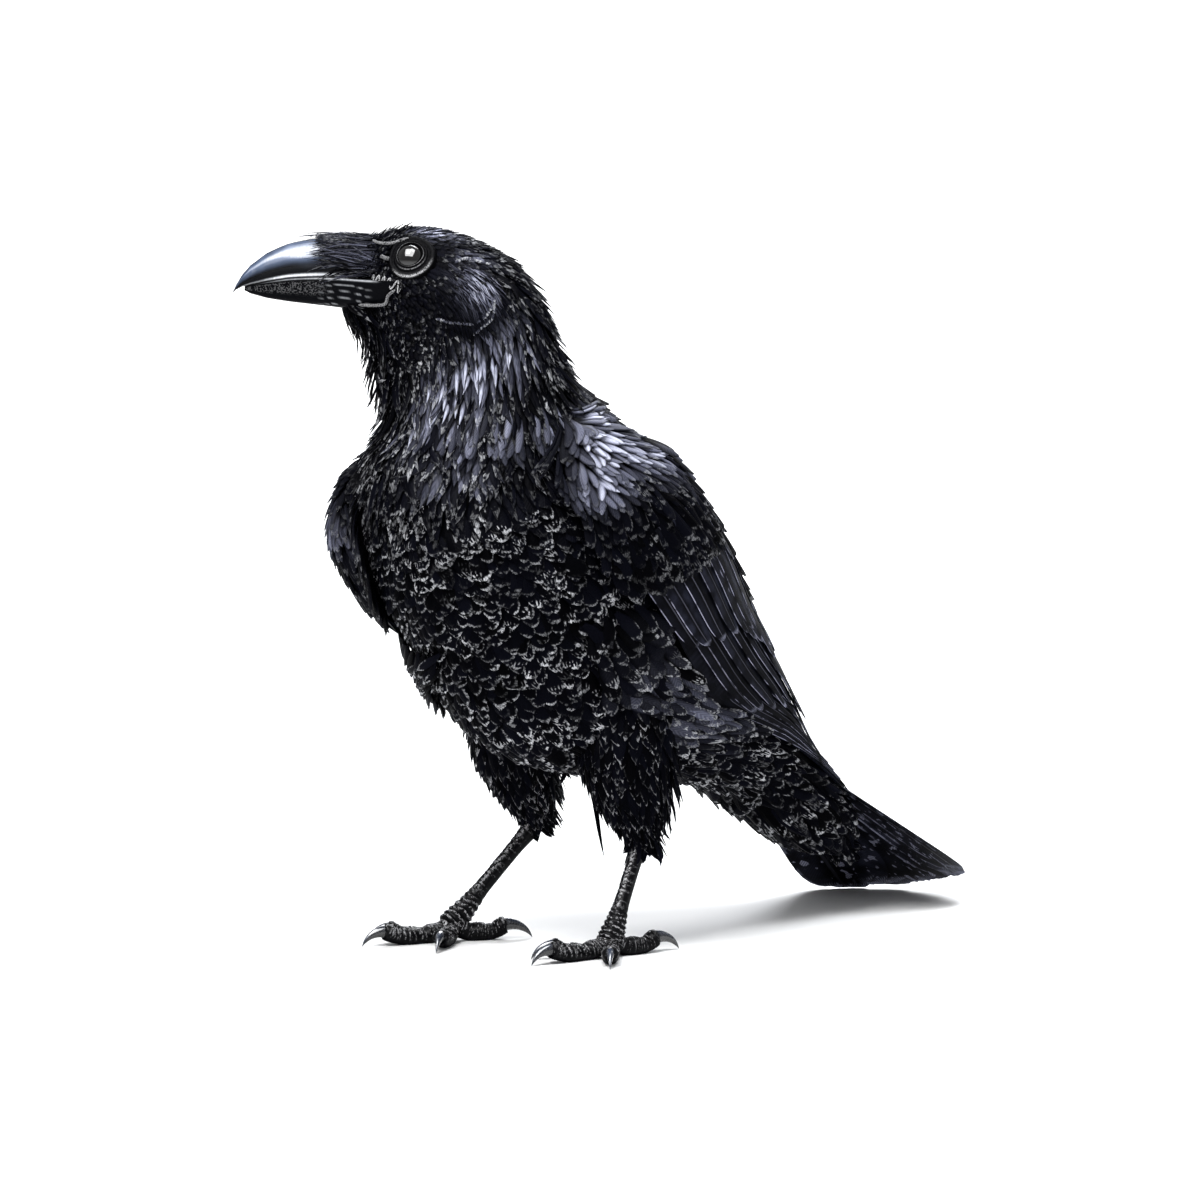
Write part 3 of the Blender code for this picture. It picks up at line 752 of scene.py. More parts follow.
class Value:
    """A shader socket that can be reckoned with: each operator adds one Math node."""

    def __init__(self, book: "Book", socket: Socket) -> None:
        """Takes the book that the socket's nodes are in."""
        self.book, self.socket = book, socket

    def math(self, operation: str, *others: Any) -> "Value":
        """A Math node of this value and of others, numbers or values."""
        return self.book.reckon(operation, self, *others)

    def __add__(self, other: Any) -> "Value":
        """self + other, and other + self."""
        return self.math("ADD", other)

    def __mul__(self, other: Any) -> "Value":
        """self x other, and other x self."""
        return self.math("MULTIPLY", other)

    __radd__, __rmul__ = __add__, __mul__

    def __sub__(self, other: Any) -> "Value":
        """self - other."""
        return self.math("SUBTRACT", other)

    def __rsub__(self, other: Any) -> "Value":
        """other - self."""
        return self.book.reckon("SUBTRACT", other, self)

    def __abs__(self) -> "Value":
        """The value without its sign."""
        return self.math("ABSOLUTE")

    def capped(self) -> "Value":
        """The value, but at most 1."""
        return self.math("MINIMUM", 1.0)

    def larger(self, other: Any) -> "Value":
        """The larger of this value and another."""
        return self.math("MAXIMUM", other)

    def wave(self) -> "Value":
        """A wave between 0 and 1 with one crest for each unit: sin(2πx) / 2 + 1/2."""
        return (self * FULL_TURN).math("SINE") * 0.5 + 0.5

    def between(self, low: float, high: float) -> "Value":
        """A smooth step from 0 at low to 1 at high.

        Args:
            low: Where it starts. It may be the larger.
            high: Where it ends.

        Returns:
            The step.
        """
        inputs = {0: self, 1: low, 2: high}
        made = self.book.node("ShaderNodeMapRange", inputs, interpolation_type="SMOOTHSTEP")
        return Value(self.book, made.outputs[0])


class Book:
    """The node tree of one material, with the shader at its end."""

    def __init__(self, name: str, **constants: Any) -> None:
        """Makes the material.

        Args:
            name: Its name.
            constants: Values of the Principled shader's sockets, with _ for a space.
        """
        self.material = bpy.data.materials.new(name)
        self.material.use_nodes = True
        self.tree = self.material.node_tree
        self.shader = self.tree.nodes["Principled BSDF"]
        for label, value in constants.items():
            self.shader.inputs[label.replace("_", " ").title().replace("Ior", "IOR")].default_value = value

    def node(self, kind: str, inputs: dict[Any, Any] | None = None, **settings: Any) -> bpy.types.Node:
        """Makes any node.

        Args:
            kind: The node's type.
            inputs: What goes into its sockets, by name or number: a Value, a socket, a number or a colour.
            settings: The node's own settings.

        Returns:
            The node.
        """
        made = self.tree.nodes.new(kind)
        for label, value in settings.items():
            setattr(made, label, value)
        for label, value in (inputs or {}).items():
            self.feed(made.inputs[label], value)
        return made

    def feed(self, target: Socket, value: Any) -> None:
        """Links a value or a socket to a socket, or sets it to a constant.

        Args:
            target: The socket that is fed.
            value: A Value, a socket, a number or a colour.
        """
        source = value.socket if isinstance(value, Value) else value
        if isinstance(source, Socket):
            self.tree.links.new(source, target)
        else:
            target.default_value = source

    def reckon(self, operation: str, *terms: Any) -> Value:
        """One Math node of these terms."""
        made = self.node("ShaderNodeMath", dict(enumerate(terms)), operation=operation)
        return Value(self, made.outputs[0])

    def split(self, kind: str, source: Socket) -> list[Value]:
        """The parts of a colour or of a vector."""
        return [Value(self, part) for part in self.node(kind, {0: source}).outputs]

    def lay(self) -> list[Value]:
        """The three channels of the piece's own lay attribute."""
        colour = self.node("ShaderNodeAttribute", attribute_name="lay").outputs["Color"]
        return self.split("ShaderNodeSeparateColor", colour)

    def vane(self) -> list[Value]:
        """Places on one feather: across it and along it, from 0 to 1."""
        return self.split("ShaderNodeSeparateXYZ", self.node("ShaderNodeUVMap", uv_map="Vane").outputs[0])[:2]

    def noise(self, scale: float, detail: float = 2.0, stretch: Triple = (1.0, 1.0, 1.0)) -> Value:
        """Noise on the piece's Object coordinates, from about 0.3 to 0.7.

        Args:
            scale: Waves to a metre.
            detail: Octaves.
            stretch: The pattern's scale along each axis.

        Returns:
            The noise's factor.
        """
        place = self.node("ShaderNodeTexCoord").outputs["Object"]
        mapped = self.node("ShaderNodeMapping", {"Vector": place, "Scale": stretch}).outputs[0]
        made = self.node("ShaderNodeTexNoise", {"Vector": mapped, "Scale": scale, "Detail": detail})
        return Value(self, made.outputs[0])

    def mix(self, share: Any, first: Any, second: Any) -> Socket:
        """A colour between two colours.

        Args:
            share: 0 for the first colour, 1 for the second.
            first: A colour or a colour socket.
            second: A colour or a colour socket.

        Returns:
            The Mix node's colour output.
        """
        colours = [(*each, 1.0) if isinstance(each, tuple) else each for each in (first, second)]
        made = self.node("ShaderNodeMix", {0: share, 6: colours[0], 7: colours[1]}, data_type="RGBA")
        return made.outputs[2]

    def bump(self, height: Value, distance: float, strength: float = 1.0) -> None:
        """Lets a height in 0 to 1, times a distance in metres, tilt the shader's normal."""
        made = self.node("ShaderNodeBump", {"Height": height, "Distance": distance, "Strength": strength})
        self.feed(self.shader.inputs["Normal"], made.outputs[0])

    def paint(self, colour: Any, roughness: Any = None, coat: Any = None) -> Material:
        """Feeds what varies over the surface.

        Args:
            colour: The base colour.
            roughness: The roughness, where it varies.
            coat: The clear coat's weight, where it varies.

        Returns:
            The material.
        """
        self.feed(self.shader.inputs["Base Color"], colour)
        if roughness is not None:
            self.feed(self.shader.inputs["Roughness"], roughness)
        if coat is not None:
            self.feed(self.shader.inputs["Coat Weight"], coat)
        return self.material


# ---------------- finishes


@dataclass(frozen=True)
class PlumageFinish:
    """Black barbed feathers with a painted lavender sheen where they lie smooth, and broken pale tips that
    are painted glints.
    """

    name: str
    black: Colour = (0.0005, 0.0005, 0.0008)
    dusk: Colour = (0.002, 0.0022, 0.0044)
    # painted light in the base colour: a lavender sheen, a whitish highlight at its middle, and pale glints
    # on the tips
    gloss: Colour = (0.24, 0.25, 0.345)
    pale: Colour = (0.62, 0.63, 0.66)
    highlight_core: Colour = (0.6, 0.62, 0.74)
    barbs: float = 11.0  # barbs along one feather
    slant: float = 2.4  # barbs crossed from shaft to edge
    roughness: float = 0.46
    rim: float = 0.9  # where along the feather its crescent starts
    relief: float = 0.00022  # metres that the bump stands for

    def build(self) -> Material:
        """Makes the material.

        The barbs are sin(2π (barbs x along - slant x side)). The crescent, a painted glint, is the rim near
        the tip and one outer edge near it, or here and there a hatching of the tip, broken by the barbs and
        by noise. The sheen
        is painted as well: lavender streaks in the base colour, whitish at their middle.
        """
        book = Book(self.name, specular_ior_level=0.007, coat_roughness=0.3, coat_ior=1.45)
        across, along = book.vane()
        tone, sheen, glint = book.lay()
        side = abs(across * 2.0 - 1.0)
        wave = (along * self.barbs - side * self.slant).wave()
        cloud = book.noise(420.0, 2.0)
        # painted glint: a pale crescent at the tip and up one edge, or a hatching of the tip
        bow = along + side * side * 0.06
        flank = across.between(0.82, 0.93) * along.between(self.rim - 0.4, self.rim - 0.15)
        rim = bow.between(self.rim, self.rim + 0.05).larger(flank)
        groups = book.noise(48.0, 2.0)
        lines = (across * 31.4).math("SINE").between(0.1, 0.8)
        lines = lines * along.between(self.rim - 0.16, self.rim - 0.06)
        hatch = lines * groups.between(0.54, 0.62) * cloud.between(0.47, 0.54) * 0.8
        crescent = rim * (groups.between(0.38, 0.56) * 0.7 + 0.3)
        crescent = crescent * cloud.between(0.42, 0.58) * (wave * 0.65 + 0.35)
        crescent = crescent.larger(hatch) * glint
        # painted sheen: lavender streaks, whitish at the middle of the glossiest feathers
        streak = sheen * (wave * 0.45 + 0.55) * along.between(0.15, 0.6)
        streak = streak * (1.15 - side.between(0.4, 0.95) * 0.95)
        colour = book.mix(tone, self.black, self.dusk)
        colour = book.mix(streak.capped(), colour, self.gloss)
        centre = sheen.between(0.55, 1.0) * side.between(0.75, 0.15) * along.between(0.3, 0.8)
        colour = book.mix(centre * (wave * 0.4 + 0.6) * 0.85, colour, self.highlight_core)
        colour = book.mix(crescent.capped(), colour, self.pale)
        shaft = side.between(0.1, 0.02)
        book.bump(wave * 0.55 + shaft, self.relief, 0.55)
        roughness = self.roughness + tone * 0.06 - sheen * 0.12
        return book.paint(colour, roughness, sheen * 0.1)


@dataclass(frozen=True)
class FlightFinish:
    """Flight feathers: black vanes with slanted barbs and a painted navy sheen, and a thin bright outer edge,
    tips, shafts and dashes that are painted glints.
    """

    name: str
    black: Colour = (0.0008, 0.0008, 0.0013)
    # navy is a painted sheen, bright the colour of the painted glints
    navy: Colour = (0.04, 0.043, 0.07)
    bright: Colour = (0.34, 0.35, 0.46)
    shaft: float = 0.15  # how pale the painted glints on the shafts are
    fleck: float = 0.0  # how pale the short dashes over the vanes are, painted glints
    barbs: float = 70.0
    slant: float = 9.0
    relief: float = 0.0003

    def build(self) -> Material:
        """Makes the material: barbs run from the shaft outwards and to the tip, clouds dim the painted navy
        sheen of the vane, and the pale marks are painted glints.
        """
        book = Book(self.name, specular_ior_level=0.008, coat_roughness=0.25, coat_ior=1.45)
        across, along = book.vane()
        tone, sheen, glint = book.lay()
        side = abs(across * 2.0 - 1.0)
        wave = (along * self.barbs - side * self.slant).wave()
        cloud = book.noise(90.0, 3.0)
        # painted sheen: navy in the vane's base colour
        vane = tone * sheen * (cloud.between(0.35, 0.65) * 0.8 + 0.2) * side.between(0.0, 0.5)
        colour = book.mix((vane * (wave * 0.4 + 0.6)).capped(), self.black, self.navy)
        # painted glints: a bright outer edge, the tip, the shaft and short dashes
        edge = across.between(0.06, 0.025) * glint * along.between(0.2, 0.5) * cloud.between(0.4, 0.56)
        tip = along.between(0.955, 0.985) * glint * wave * cloud.between(0.35, 0.6)
        shaft = side.between(0.09, 0.03)
        fleck = book.noise(300.0, 1.0, (1.0, 0.5, 0.5)).between(0.61, 0.66) * (wave * 0.6 + 0.4) * self.fleck
        painted_glints = edge.larger(tip).larger(shaft * self.shaft * glint).larger(fleck)
        colour = book.mix(painted_glints, colour, self.bright)
        book.bump(wave * 0.3 + shaft, self.relief, 0.5)
        return book.paint(colour, 0.45 - shaft * 0.14 + wave * 0.05, sheen * 0.03)


@dataclass(frozen=True)
class HornFinish:
    """Polished black horn with fine growth lines, and a painted blue highlight where the lay's first channel
    says so.
    """

    name: str
    black: Colour = (0.0022, 0.0024, 0.0034)
    # the painted highlight's blue, and pale its whitish middle and the painted highlight lines
    highlight_blue: Colour = (0.13, 0.17, 0.27)
    pale: Colour = (0.72, 0.74, 0.78)
    # the grey of a dotted band
    dotted_grey: Colour = (0.085, 0.085, 0.088)
    line_scale: float = 900.0
    shine: float = 0.08
    polish: float = 0.16
    relief: float = 0.00012

    def build(self) -> Material:
        """Makes the material. The lay's second channel gives painted highlight lines, its third a grey dotted
        band.
        """
        book = Book(self.name, specular_ior_level=self.shine, coat_weight=self.polish, coat_roughness=0.06,
                    coat_ior=1.5)
        highlight_blue, edge, dot_band = book.lay()
        lines = book.noise(self.line_scale, 3.0, (1.0, 1.0, 0.25))
        blotch = book.noise(160.0, 2.0)
        # painted highlight: blue with a whitish middle, and pale painted highlight lines
        colour = book.mix((highlight_blue * (0.5 + blotch)).capped(), self.black, self.highlight_blue)
        highlight_core = highlight_blue.between(0.6, 0.98) * (lines * 0.8 + 0.3)
        colour = book.mix((edge * (0.4 + lines)).larger(highlight_core * 0.8).capped(), colour, self.pale)
        # a grey dotted band where the lay's third channel says so
        pale_marks = dot_band * book.noise(1250.0, 0.0).between(0.52, 0.57)
        colour = book.mix(pale_marks * 0.8, colour, self.dotted_grey)
        book.bump(lines * 0.6 + blotch * 0.4, self.relief, 0.4)
        return book.paint(colour, 0.2 + pale_marks * 0.25 + blotch * 0.1)


@dataclass(frozen=True)
class ScaledSkinFinish:
    """Black scaled skin of legs and toes: glossy plates with dull seams, and pale edges that are painted
    glints.
    """

    name: str
    black: Colour = (0.0016, 0.0016, 0.0022)
    # the colour of the painted glints
    pale_marks: Colour = (0.6, 0.6, 0.62)
    relief: float = 0.00018

    def build(self) -> Material:
        """Makes the material. The lay's first channel is where painted glints go, such as a plate's raised
        edge; its second is the sole.
        """
        book = Book(self.name, specular_ior_level=0.03, coat_roughness=0.16, coat_ior=1.45)
        edge, sole = book.lay()[:2]
        grain = book.noise(2600.0, 2.0)
        patches = book.noise(700.0, 3.0)
        # painted glints on the raised edges, broken by noise
        pale_marks = edge * patches.between(0.46, 0.54) * grain.between(0.38, 0.58)
        colour = book.mix(pale_marks.capped(), self.black, self.pale_marks)
        book.bump(grain * 0.5 + patches, self.relief, 0.6)
        return book.paint(colour, 0.4 + sole * 0.3 + grain * 0.1 - edge * 0.06, 0.08 - sole * 0.06)


@dataclass(frozen=True)
class BareSkinFinish:
    """Dark skin under the coat and on the lids, with fine wrinkles, and painted glints on the folds where the
    lay says so.
    """

    name: str
    dark: Colour = (0.0012, 0.0012, 0.0016)
    mottle: Colour = (0.004, 0.004, 0.005)
    # the colour of the painted glints on folds
    fold: Colour = (0.42, 0.42, 0.43)
    folded: bool = False
    relief: float = 0.00025

    def build(self) -> Material:
        """Makes the material. Only a folded one reads the lay attribute."""
        book = Book(self.name, specular_ior_level=0.015, coat_roughness=0.25)
        grain = book.noise(1500.0, 3.0)
        colour = book.mix(grain.between(0.4, 0.8) * 0.5, self.dark, self.mottle)
        if self.folded:
            # painted glints on the folds, broken by the grain
            colour = book.mix((book.lay()[0] * grain.between(0.34, 0.58)).capped(), colour, self.fold)
        book.bump(grain, self.relief, 0.7)
        return book.paint(colour, 0.55 - grain * 0.15)


@dataclass(frozen=True)
class EyeFinish:
    """A dark brown iris round a black pupil under a clear wet cornea."""

    name: str
    pupil: Colour = (0.001, 0.001, 0.001)
    iris_dark: Colour = (0.0008, 0.0006, 0.0005)
    iris_brown: Colour = (0.0036, 0.0022, 0.0018)
    white: Colour = (0.002, 0.002, 0.002)  # nearly black in this bird

    def build(self) -> Material:
        """Makes the material. The lay's first channel is the angle from the pupil's middle, over 180."""
        book = Book(self.name, specular_ior_level=0.08, roughness=0.06, coat_weight=1.0, coat_roughness=0.012,
                    coat_ior=1.55)
        polar = book.lay()[0]
        iris = book.mix(book.noise(1400.0, 3.0).between(0.35, 0.65), self.iris_dark, self.iris_brown)
        colour = book.mix(polar.between(0.105, 0.12), self.pupil, iris)
        return book.paint(book.mix(polar.between(0.205, 0.225), colour, self.white))


@dataclass(frozen=True)
class FloorFinish:
    """A plain pale studio floor."""

    name: str
    pale: Colour = (0.86, 0.86, 0.855)
    mottle: Colour = (0.85, 0.85, 0.85)

    def build(self) -> Material:
        """Makes the material: one pale tone with a very faint mottle."""
        book = Book(self.name, specular_ior_level=0.1)
        return book.paint(book.mix(book.noise(3.0).between(0.2, 0.8) * 0.3, self.pale, self.mottle), 0.9)


# ---------------- feathers

BAKE_PATCH = 0.003  # side of one feather's place on its OFBake map


@dataclass(frozen=True)
class Vane:
    """The cut of one kind of feather, as a solid blade of rings from its root to its tip."""

    places: tuple[float, ...]  # shares of the length where its rings stand
    widths: tuple[float, ...]  # width at each ring, as a share of the widest
    columns: int  # points across its upper side
    camber: float  # how far its edges droop, as a share of its half width
    thick: float  # thickness at the shaft, in metres
    ragged: float  # how uneven its tip is, as a share of its length
    climb: float  # power of the way it rises off the skin


class Cut(Enum):
    """The kinds of feather."""

    CONTOUR = Vane((0.0, 0.3, 0.55, 0.75, 0.88, 0.96, 1.0), (0.3, 0.78, 1.0, 0.98, 0.82, 0.56, 0.24),
                   5, 0.34, 0.0003, 0.035, 0.8)
    SMALL = Vane((0.0, 0.35, 0.65, 0.88, 1.0), (0.4, 0.9, 1.0, 0.72, 0.22), 4, 0.3, 0.00022, 0.05, 0.8)
    HACKLE = Vane((0.0, 0.25, 0.5, 0.72, 0.88, 1.0), (0.35, 0.92, 1.0, 0.7, 0.38, 0.05),
                  4, 0.4, 0.00026, 0.04, 0.75)
    BRISTLE = Vane((0.0, 0.3, 0.65, 1.0), (0.75, 1.0, 0.7, 0.08), 3, 0.3, 0.00026, 0.0, 0.9)
    FLIGHT = Vane((0.0, 0.08, 0.2, 0.32, 0.44, 0.56, 0.66, 0.75, 0.82, 0.88, 0.93, 0.965, 0.985, 1.0),
                  (0.55, 0.8, 0.96, 1.0, 1.0, 0.99, 0.97, 0.94, 0.9, 0.83, 0.72, 0.58, 0.44, 0.22),
                  7, 0.03, 0.00055, 0.006, 1.0)


@dataclass
class Roots:
    """Where feathers stand and what each is like: arrays with one value for each feather."""

    u: Array
    v: Array
    heading: Array  # degrees from the form's own lie, towards rising v
    length: Array
    width: Array
    depth: Array  # how far the root lies under the form
    rise: Array  # height of the tip over it
    bend: Array  # degrees that it curves by its tip
    tilt: Array  # how far it rolls about its shaft, raising its lower-v edge, in metres per metre
    lay: Array  # tone, painted sheen and painted glint

    def only(self, keep: Array) -> "Roots":
        """The roots where keep is true."""
        return Roots(*(value[keep] for value in vars(self).values()))


def sized(*rows: tuple[float, ...]) -> Array:
    """A table of feather sizes in metres.

    Args:
        rows: u; spacing of rows, spacing in a row, length, width, root's depth and tip's rise, in tenths of a
            millimetre; glint.

    Returns:
        The table, for a tract.
    """
    table = np.array(rows, float)
    table[:, 1:-1] /= 1e4
    return table


def grow(form: Form, roots: Roots, cut: Cut, seed: int) -> Shape:
    """Grows feathers on a form, so that each follows its curves.

    A point lies at root + length x s along the feather's heading and half width x t across it, by the form's
    own scale at the root. It is lifted from -depth to rise by s^climb, less the edges' droop, and half the
    thickness x (1 - t²) up or down.

    Args:
        form: The surface.
        roots: The feathers.
        cut: Their cut.
        seed: For the uneven tips.

    Returns:
        One shape with the lay attribute, and the maps Vane and OFBake.
    """
    vane, rng = cut.value, np.random.default_rng(seed)
    count = len(roots.u)
    upper = np.linspace(-1.0, 1.0, vane.columns)
    across = np.concatenate([upper, upper[-2:0:-1]])
    layer = np.concatenate([[0.0], np.ones(vane.columns - 2), [0.0], -np.ones(vane.columns - 2)])
    share = np.array(vane.places)[None, :, None]
    notch = rng.uniform(-1.0, 1.0, (count, 1, vane.columns))
    notch = np.concatenate([notch, notch[..., -2:0:-1]], axis=-1) * vane.ragged
    along = share + notch * share**6
    each = {name: value[:, None, None] for name, value in vars(roots).items() if name != "lay"}
    half = each["width"] / 2 * np.array(vane.widths)[None, :, None]
    ahead, beside = each["length"] * along, half * across
    angle = np.radians(each["heading"] + each["bend"] * along)
    run, drift = form.scale(each["u"], each["v"])
    u = each["u"] + (ahead * np.cos(angle) - beside * np.sin(angle)) / run
    v = each["v"] + (ahead * np.sin(angle) + beside * np.cos(angle)) / drift
    lift = -each["depth"] + (each["rise"] + each["depth"]) * np.clip(along, 0.0, 1.2) ** vane.climb
    lift = lift - vane.camber * half * across**2 - each["tilt"] * beside
    lift = lift + layer * vane.thick / 2 * (1.0 - across**2)
    points = form.points(u, v, lift)
    quads = ring_quads(len(vane.places), len(across))
    if form.facing < 0:
        quads = quads[:, ::-1]
    each_quads = quads[None] + (np.arange(count) * len(vane.places) * len(across))[:, None, None]
    shape = (count, len(vane.places), len(across))
    flat = np.stack(np.broadcast_arrays(across * 0.5 + 0.5, np.clip(along, 0.0, 1.0)), axis=-1)
    home = form.unwrap(roots.u, roots.v)[:, None, None]
    patch = home + BAKE_PATCH * (flat - 0.5)
    lay = np.concatenate([roots.lay, np.ones((count, 1))], axis=1)[:, None, None]
    lay = np.broadcast_to(lay, (*shape, 4))
    maps = {"Vane": np.broadcast_to(flat, (*shape, 2)).reshape(-1, 2), "OFBake": patch.reshape(-1, 2)}
    return Shape(points.reshape(-1, 3), each_quads.reshape(-1, 4), lay.reshape(-1, 4), maps)


@dataclass
class Tract:
    """A field of feathers in staggered rows on one form."""

    form: Form
    cut: Cut
    span: Pair  # u of the first and the last row
    reach: Pair  # v from edge to edge
    sizes: Array  # made by sized
    seed: int
    gloss: Rows = ()  # areas of painted sheen
    lean: Rows = ((0.0, 0.0), (1.0, 0.0))  # u and the heading's lean there
    unruly: float = 7.0  # degrees by which headings vary
    loose: float = 0.0004  # metres by which tips rise unevenly
    stray: float = 0.02  # share of feathers whose tips stand out
    folded: bool = True  # on a trunk both sides are alike, so areas and lean read the side's own height
    hush: Rows = ()  # areas whose feathers get no painted glints on their tips
    splay: float = 0.0  # degrees by which headings spread for one unit of v, away from the middle of 0 and 1
    gaps: float = 1.5  # how many feathers stay black in a gloss area
    sparse: float = 1.2  # how few of the tips get painted glints
    jitter = (0.22, 0.18)  # shares of its spacing by which a feather stands off along u and across

    def roots(self) -> Roots:
        """Places the rows, each its spacing after the last one, with the feathers their spacing apart."""
        rng = np.random.default_rng(self.seed)
        places_u, places_v, stretch = [], [], []
        u, odd = self.span[0], 0.0
        ring = np.linspace(*self.reach, 49)
        while u < self.span[1]:
            spacing, beside = between(self.sizes, u)[:2]
            run, drift = self.form.scale(np.full(ring.shape, u), ring)
            metres = np.concatenate([[0.0], np.cumsum((drift[1:] + drift[:-1]) / 2 * np.diff(ring))])
            count = max(2, int(round(metres[-1] / beside)))
            wanted = np.arange(count) + 0.25 + 0.5 * odd + rng.uniform(-self.jitter[1], self.jitter[1], count)
            wanted = wanted / count * metres[-1]
            v = np.interp(wanted, metres, ring)
            pace = spacing / run.mean()
            places_u.append(u + rng.uniform(-self.jitter[0], self.jitter[0], count) * pace)
            places_v.append(v)
            stretch.append(np.clip(np.interp(v, ring, run) / run.mean(), 0.65, 1.4))
            u, odd = u + pace, 1.0 - odd
        u, v, stretch = np.concatenate(places_u), np.concatenate(places_v), np.concatenate(stretch)
        return self.dress(u, v, stretch, rng)

    def dress(self, u: Array, v: Array, stretch: Array, rng: np.random.Generator) -> Roots:
        """Gives each place its feather: sizes from the table, a heading, and its tone, sheen and glint.

        Args:
            u: Places along the form.
            v: Places across it.
            stretch: How much longer each feather is than the table says.
            rng: For the variation.

        Returns:
            The roots.
        """
        _, _, length, width, depth, rise, glint = columns(between(self.sizes, u))
        side = side_height(v) if self.folded else v
        lean = between(self.lean, u)[..., 0]
        heading = -lean * (np.cos(np.radians(v)) if self.folded else 1.0)
        heading = heading + rng.normal(0.0, self.unruly, u.shape) + self.splay * (v - 0.5)
        sheen = areas(self.gloss, u, side) * 1.7 * rng.uniform(0.0, 1.0, u.shape) ** self.gaps
        bright = np.clip(1.0 - areas(self.hush, u, side), 0.0, 1.0)
        glint = glint * rng.uniform(0.0, 1.0, u.shape) ** self.sparse * bright
        astray = rng.uniform(0.0, 1.0, u.shape) < self.stray
        lay = np.stack([rng.uniform(0.0, 1.0, u.shape), np.clip(sheen, 0, 1), np.clip(glint, 0, 1)], axis=-1)
        size = rng.normal(1.0, 0.07, u.shape)
        size = size * np.where(astray, 1.18, 1.0)
        rise = rise + rng.uniform(-0.5, 1.0, u.shape) * self.loose + np.where(astray, 0.1 * length, 0.0)
        return Roots(u, v, heading, length * stretch * size, width * size, depth, rise,
                     rng.normal(0.0, self.unruly, u.shape), rng.normal(0.0, 0.12, u.shape), lay)

    def grown(self, keep: Callable[[Roots], Array] | None = None, seed: int | None = None) -> Shape:
        """Grows the feathers.

        Args:
            keep: Tells which of the roots stay. Without it all do.
            seed: For the uneven tips, where it isn't the tract's own seed + 1.

        Returns:
            Their shape.
        """
        roots = self.roots()
        if keep is not None:
            roots = roots.only(keep(roots))
        LOG.info("%s tract: %d feathers", self.cut.name.lower(), len(roots.u))
        return grow(self.form, roots, self.cut, self.seed + 1 if seed is None else seed)


def row_on(form: Form, path: Any, count: int, size: Triple, lay: Triple) -> Roots:
    """Feathers one after another along a path.

    Args:
        form: The surface.
        path: Places (u, v) that it goes through.
        count: How many feathers.
        size: Their length, width and rise.
        lay: Their tone, sheen and glint.

    Returns:
        Their roots, each heading along the path.
    """
    u, v = columns(smooth(path, np.linspace(0.0, len(path) - 1.0, count)))
    run, drift = form.scale(u, v)
    heading = np.degrees(np.arctan2(np.gradient(v) * drift, np.gradient(u) * run))
    length, width, rise = (np.full(count, each) for each in size)
    return Roots(u, v, heading, length, width, 0 * u + 0.001, rise, 0 * u, 0 * u, np.tile([lay], (count, 1)))


# ---------------- the bird's parts


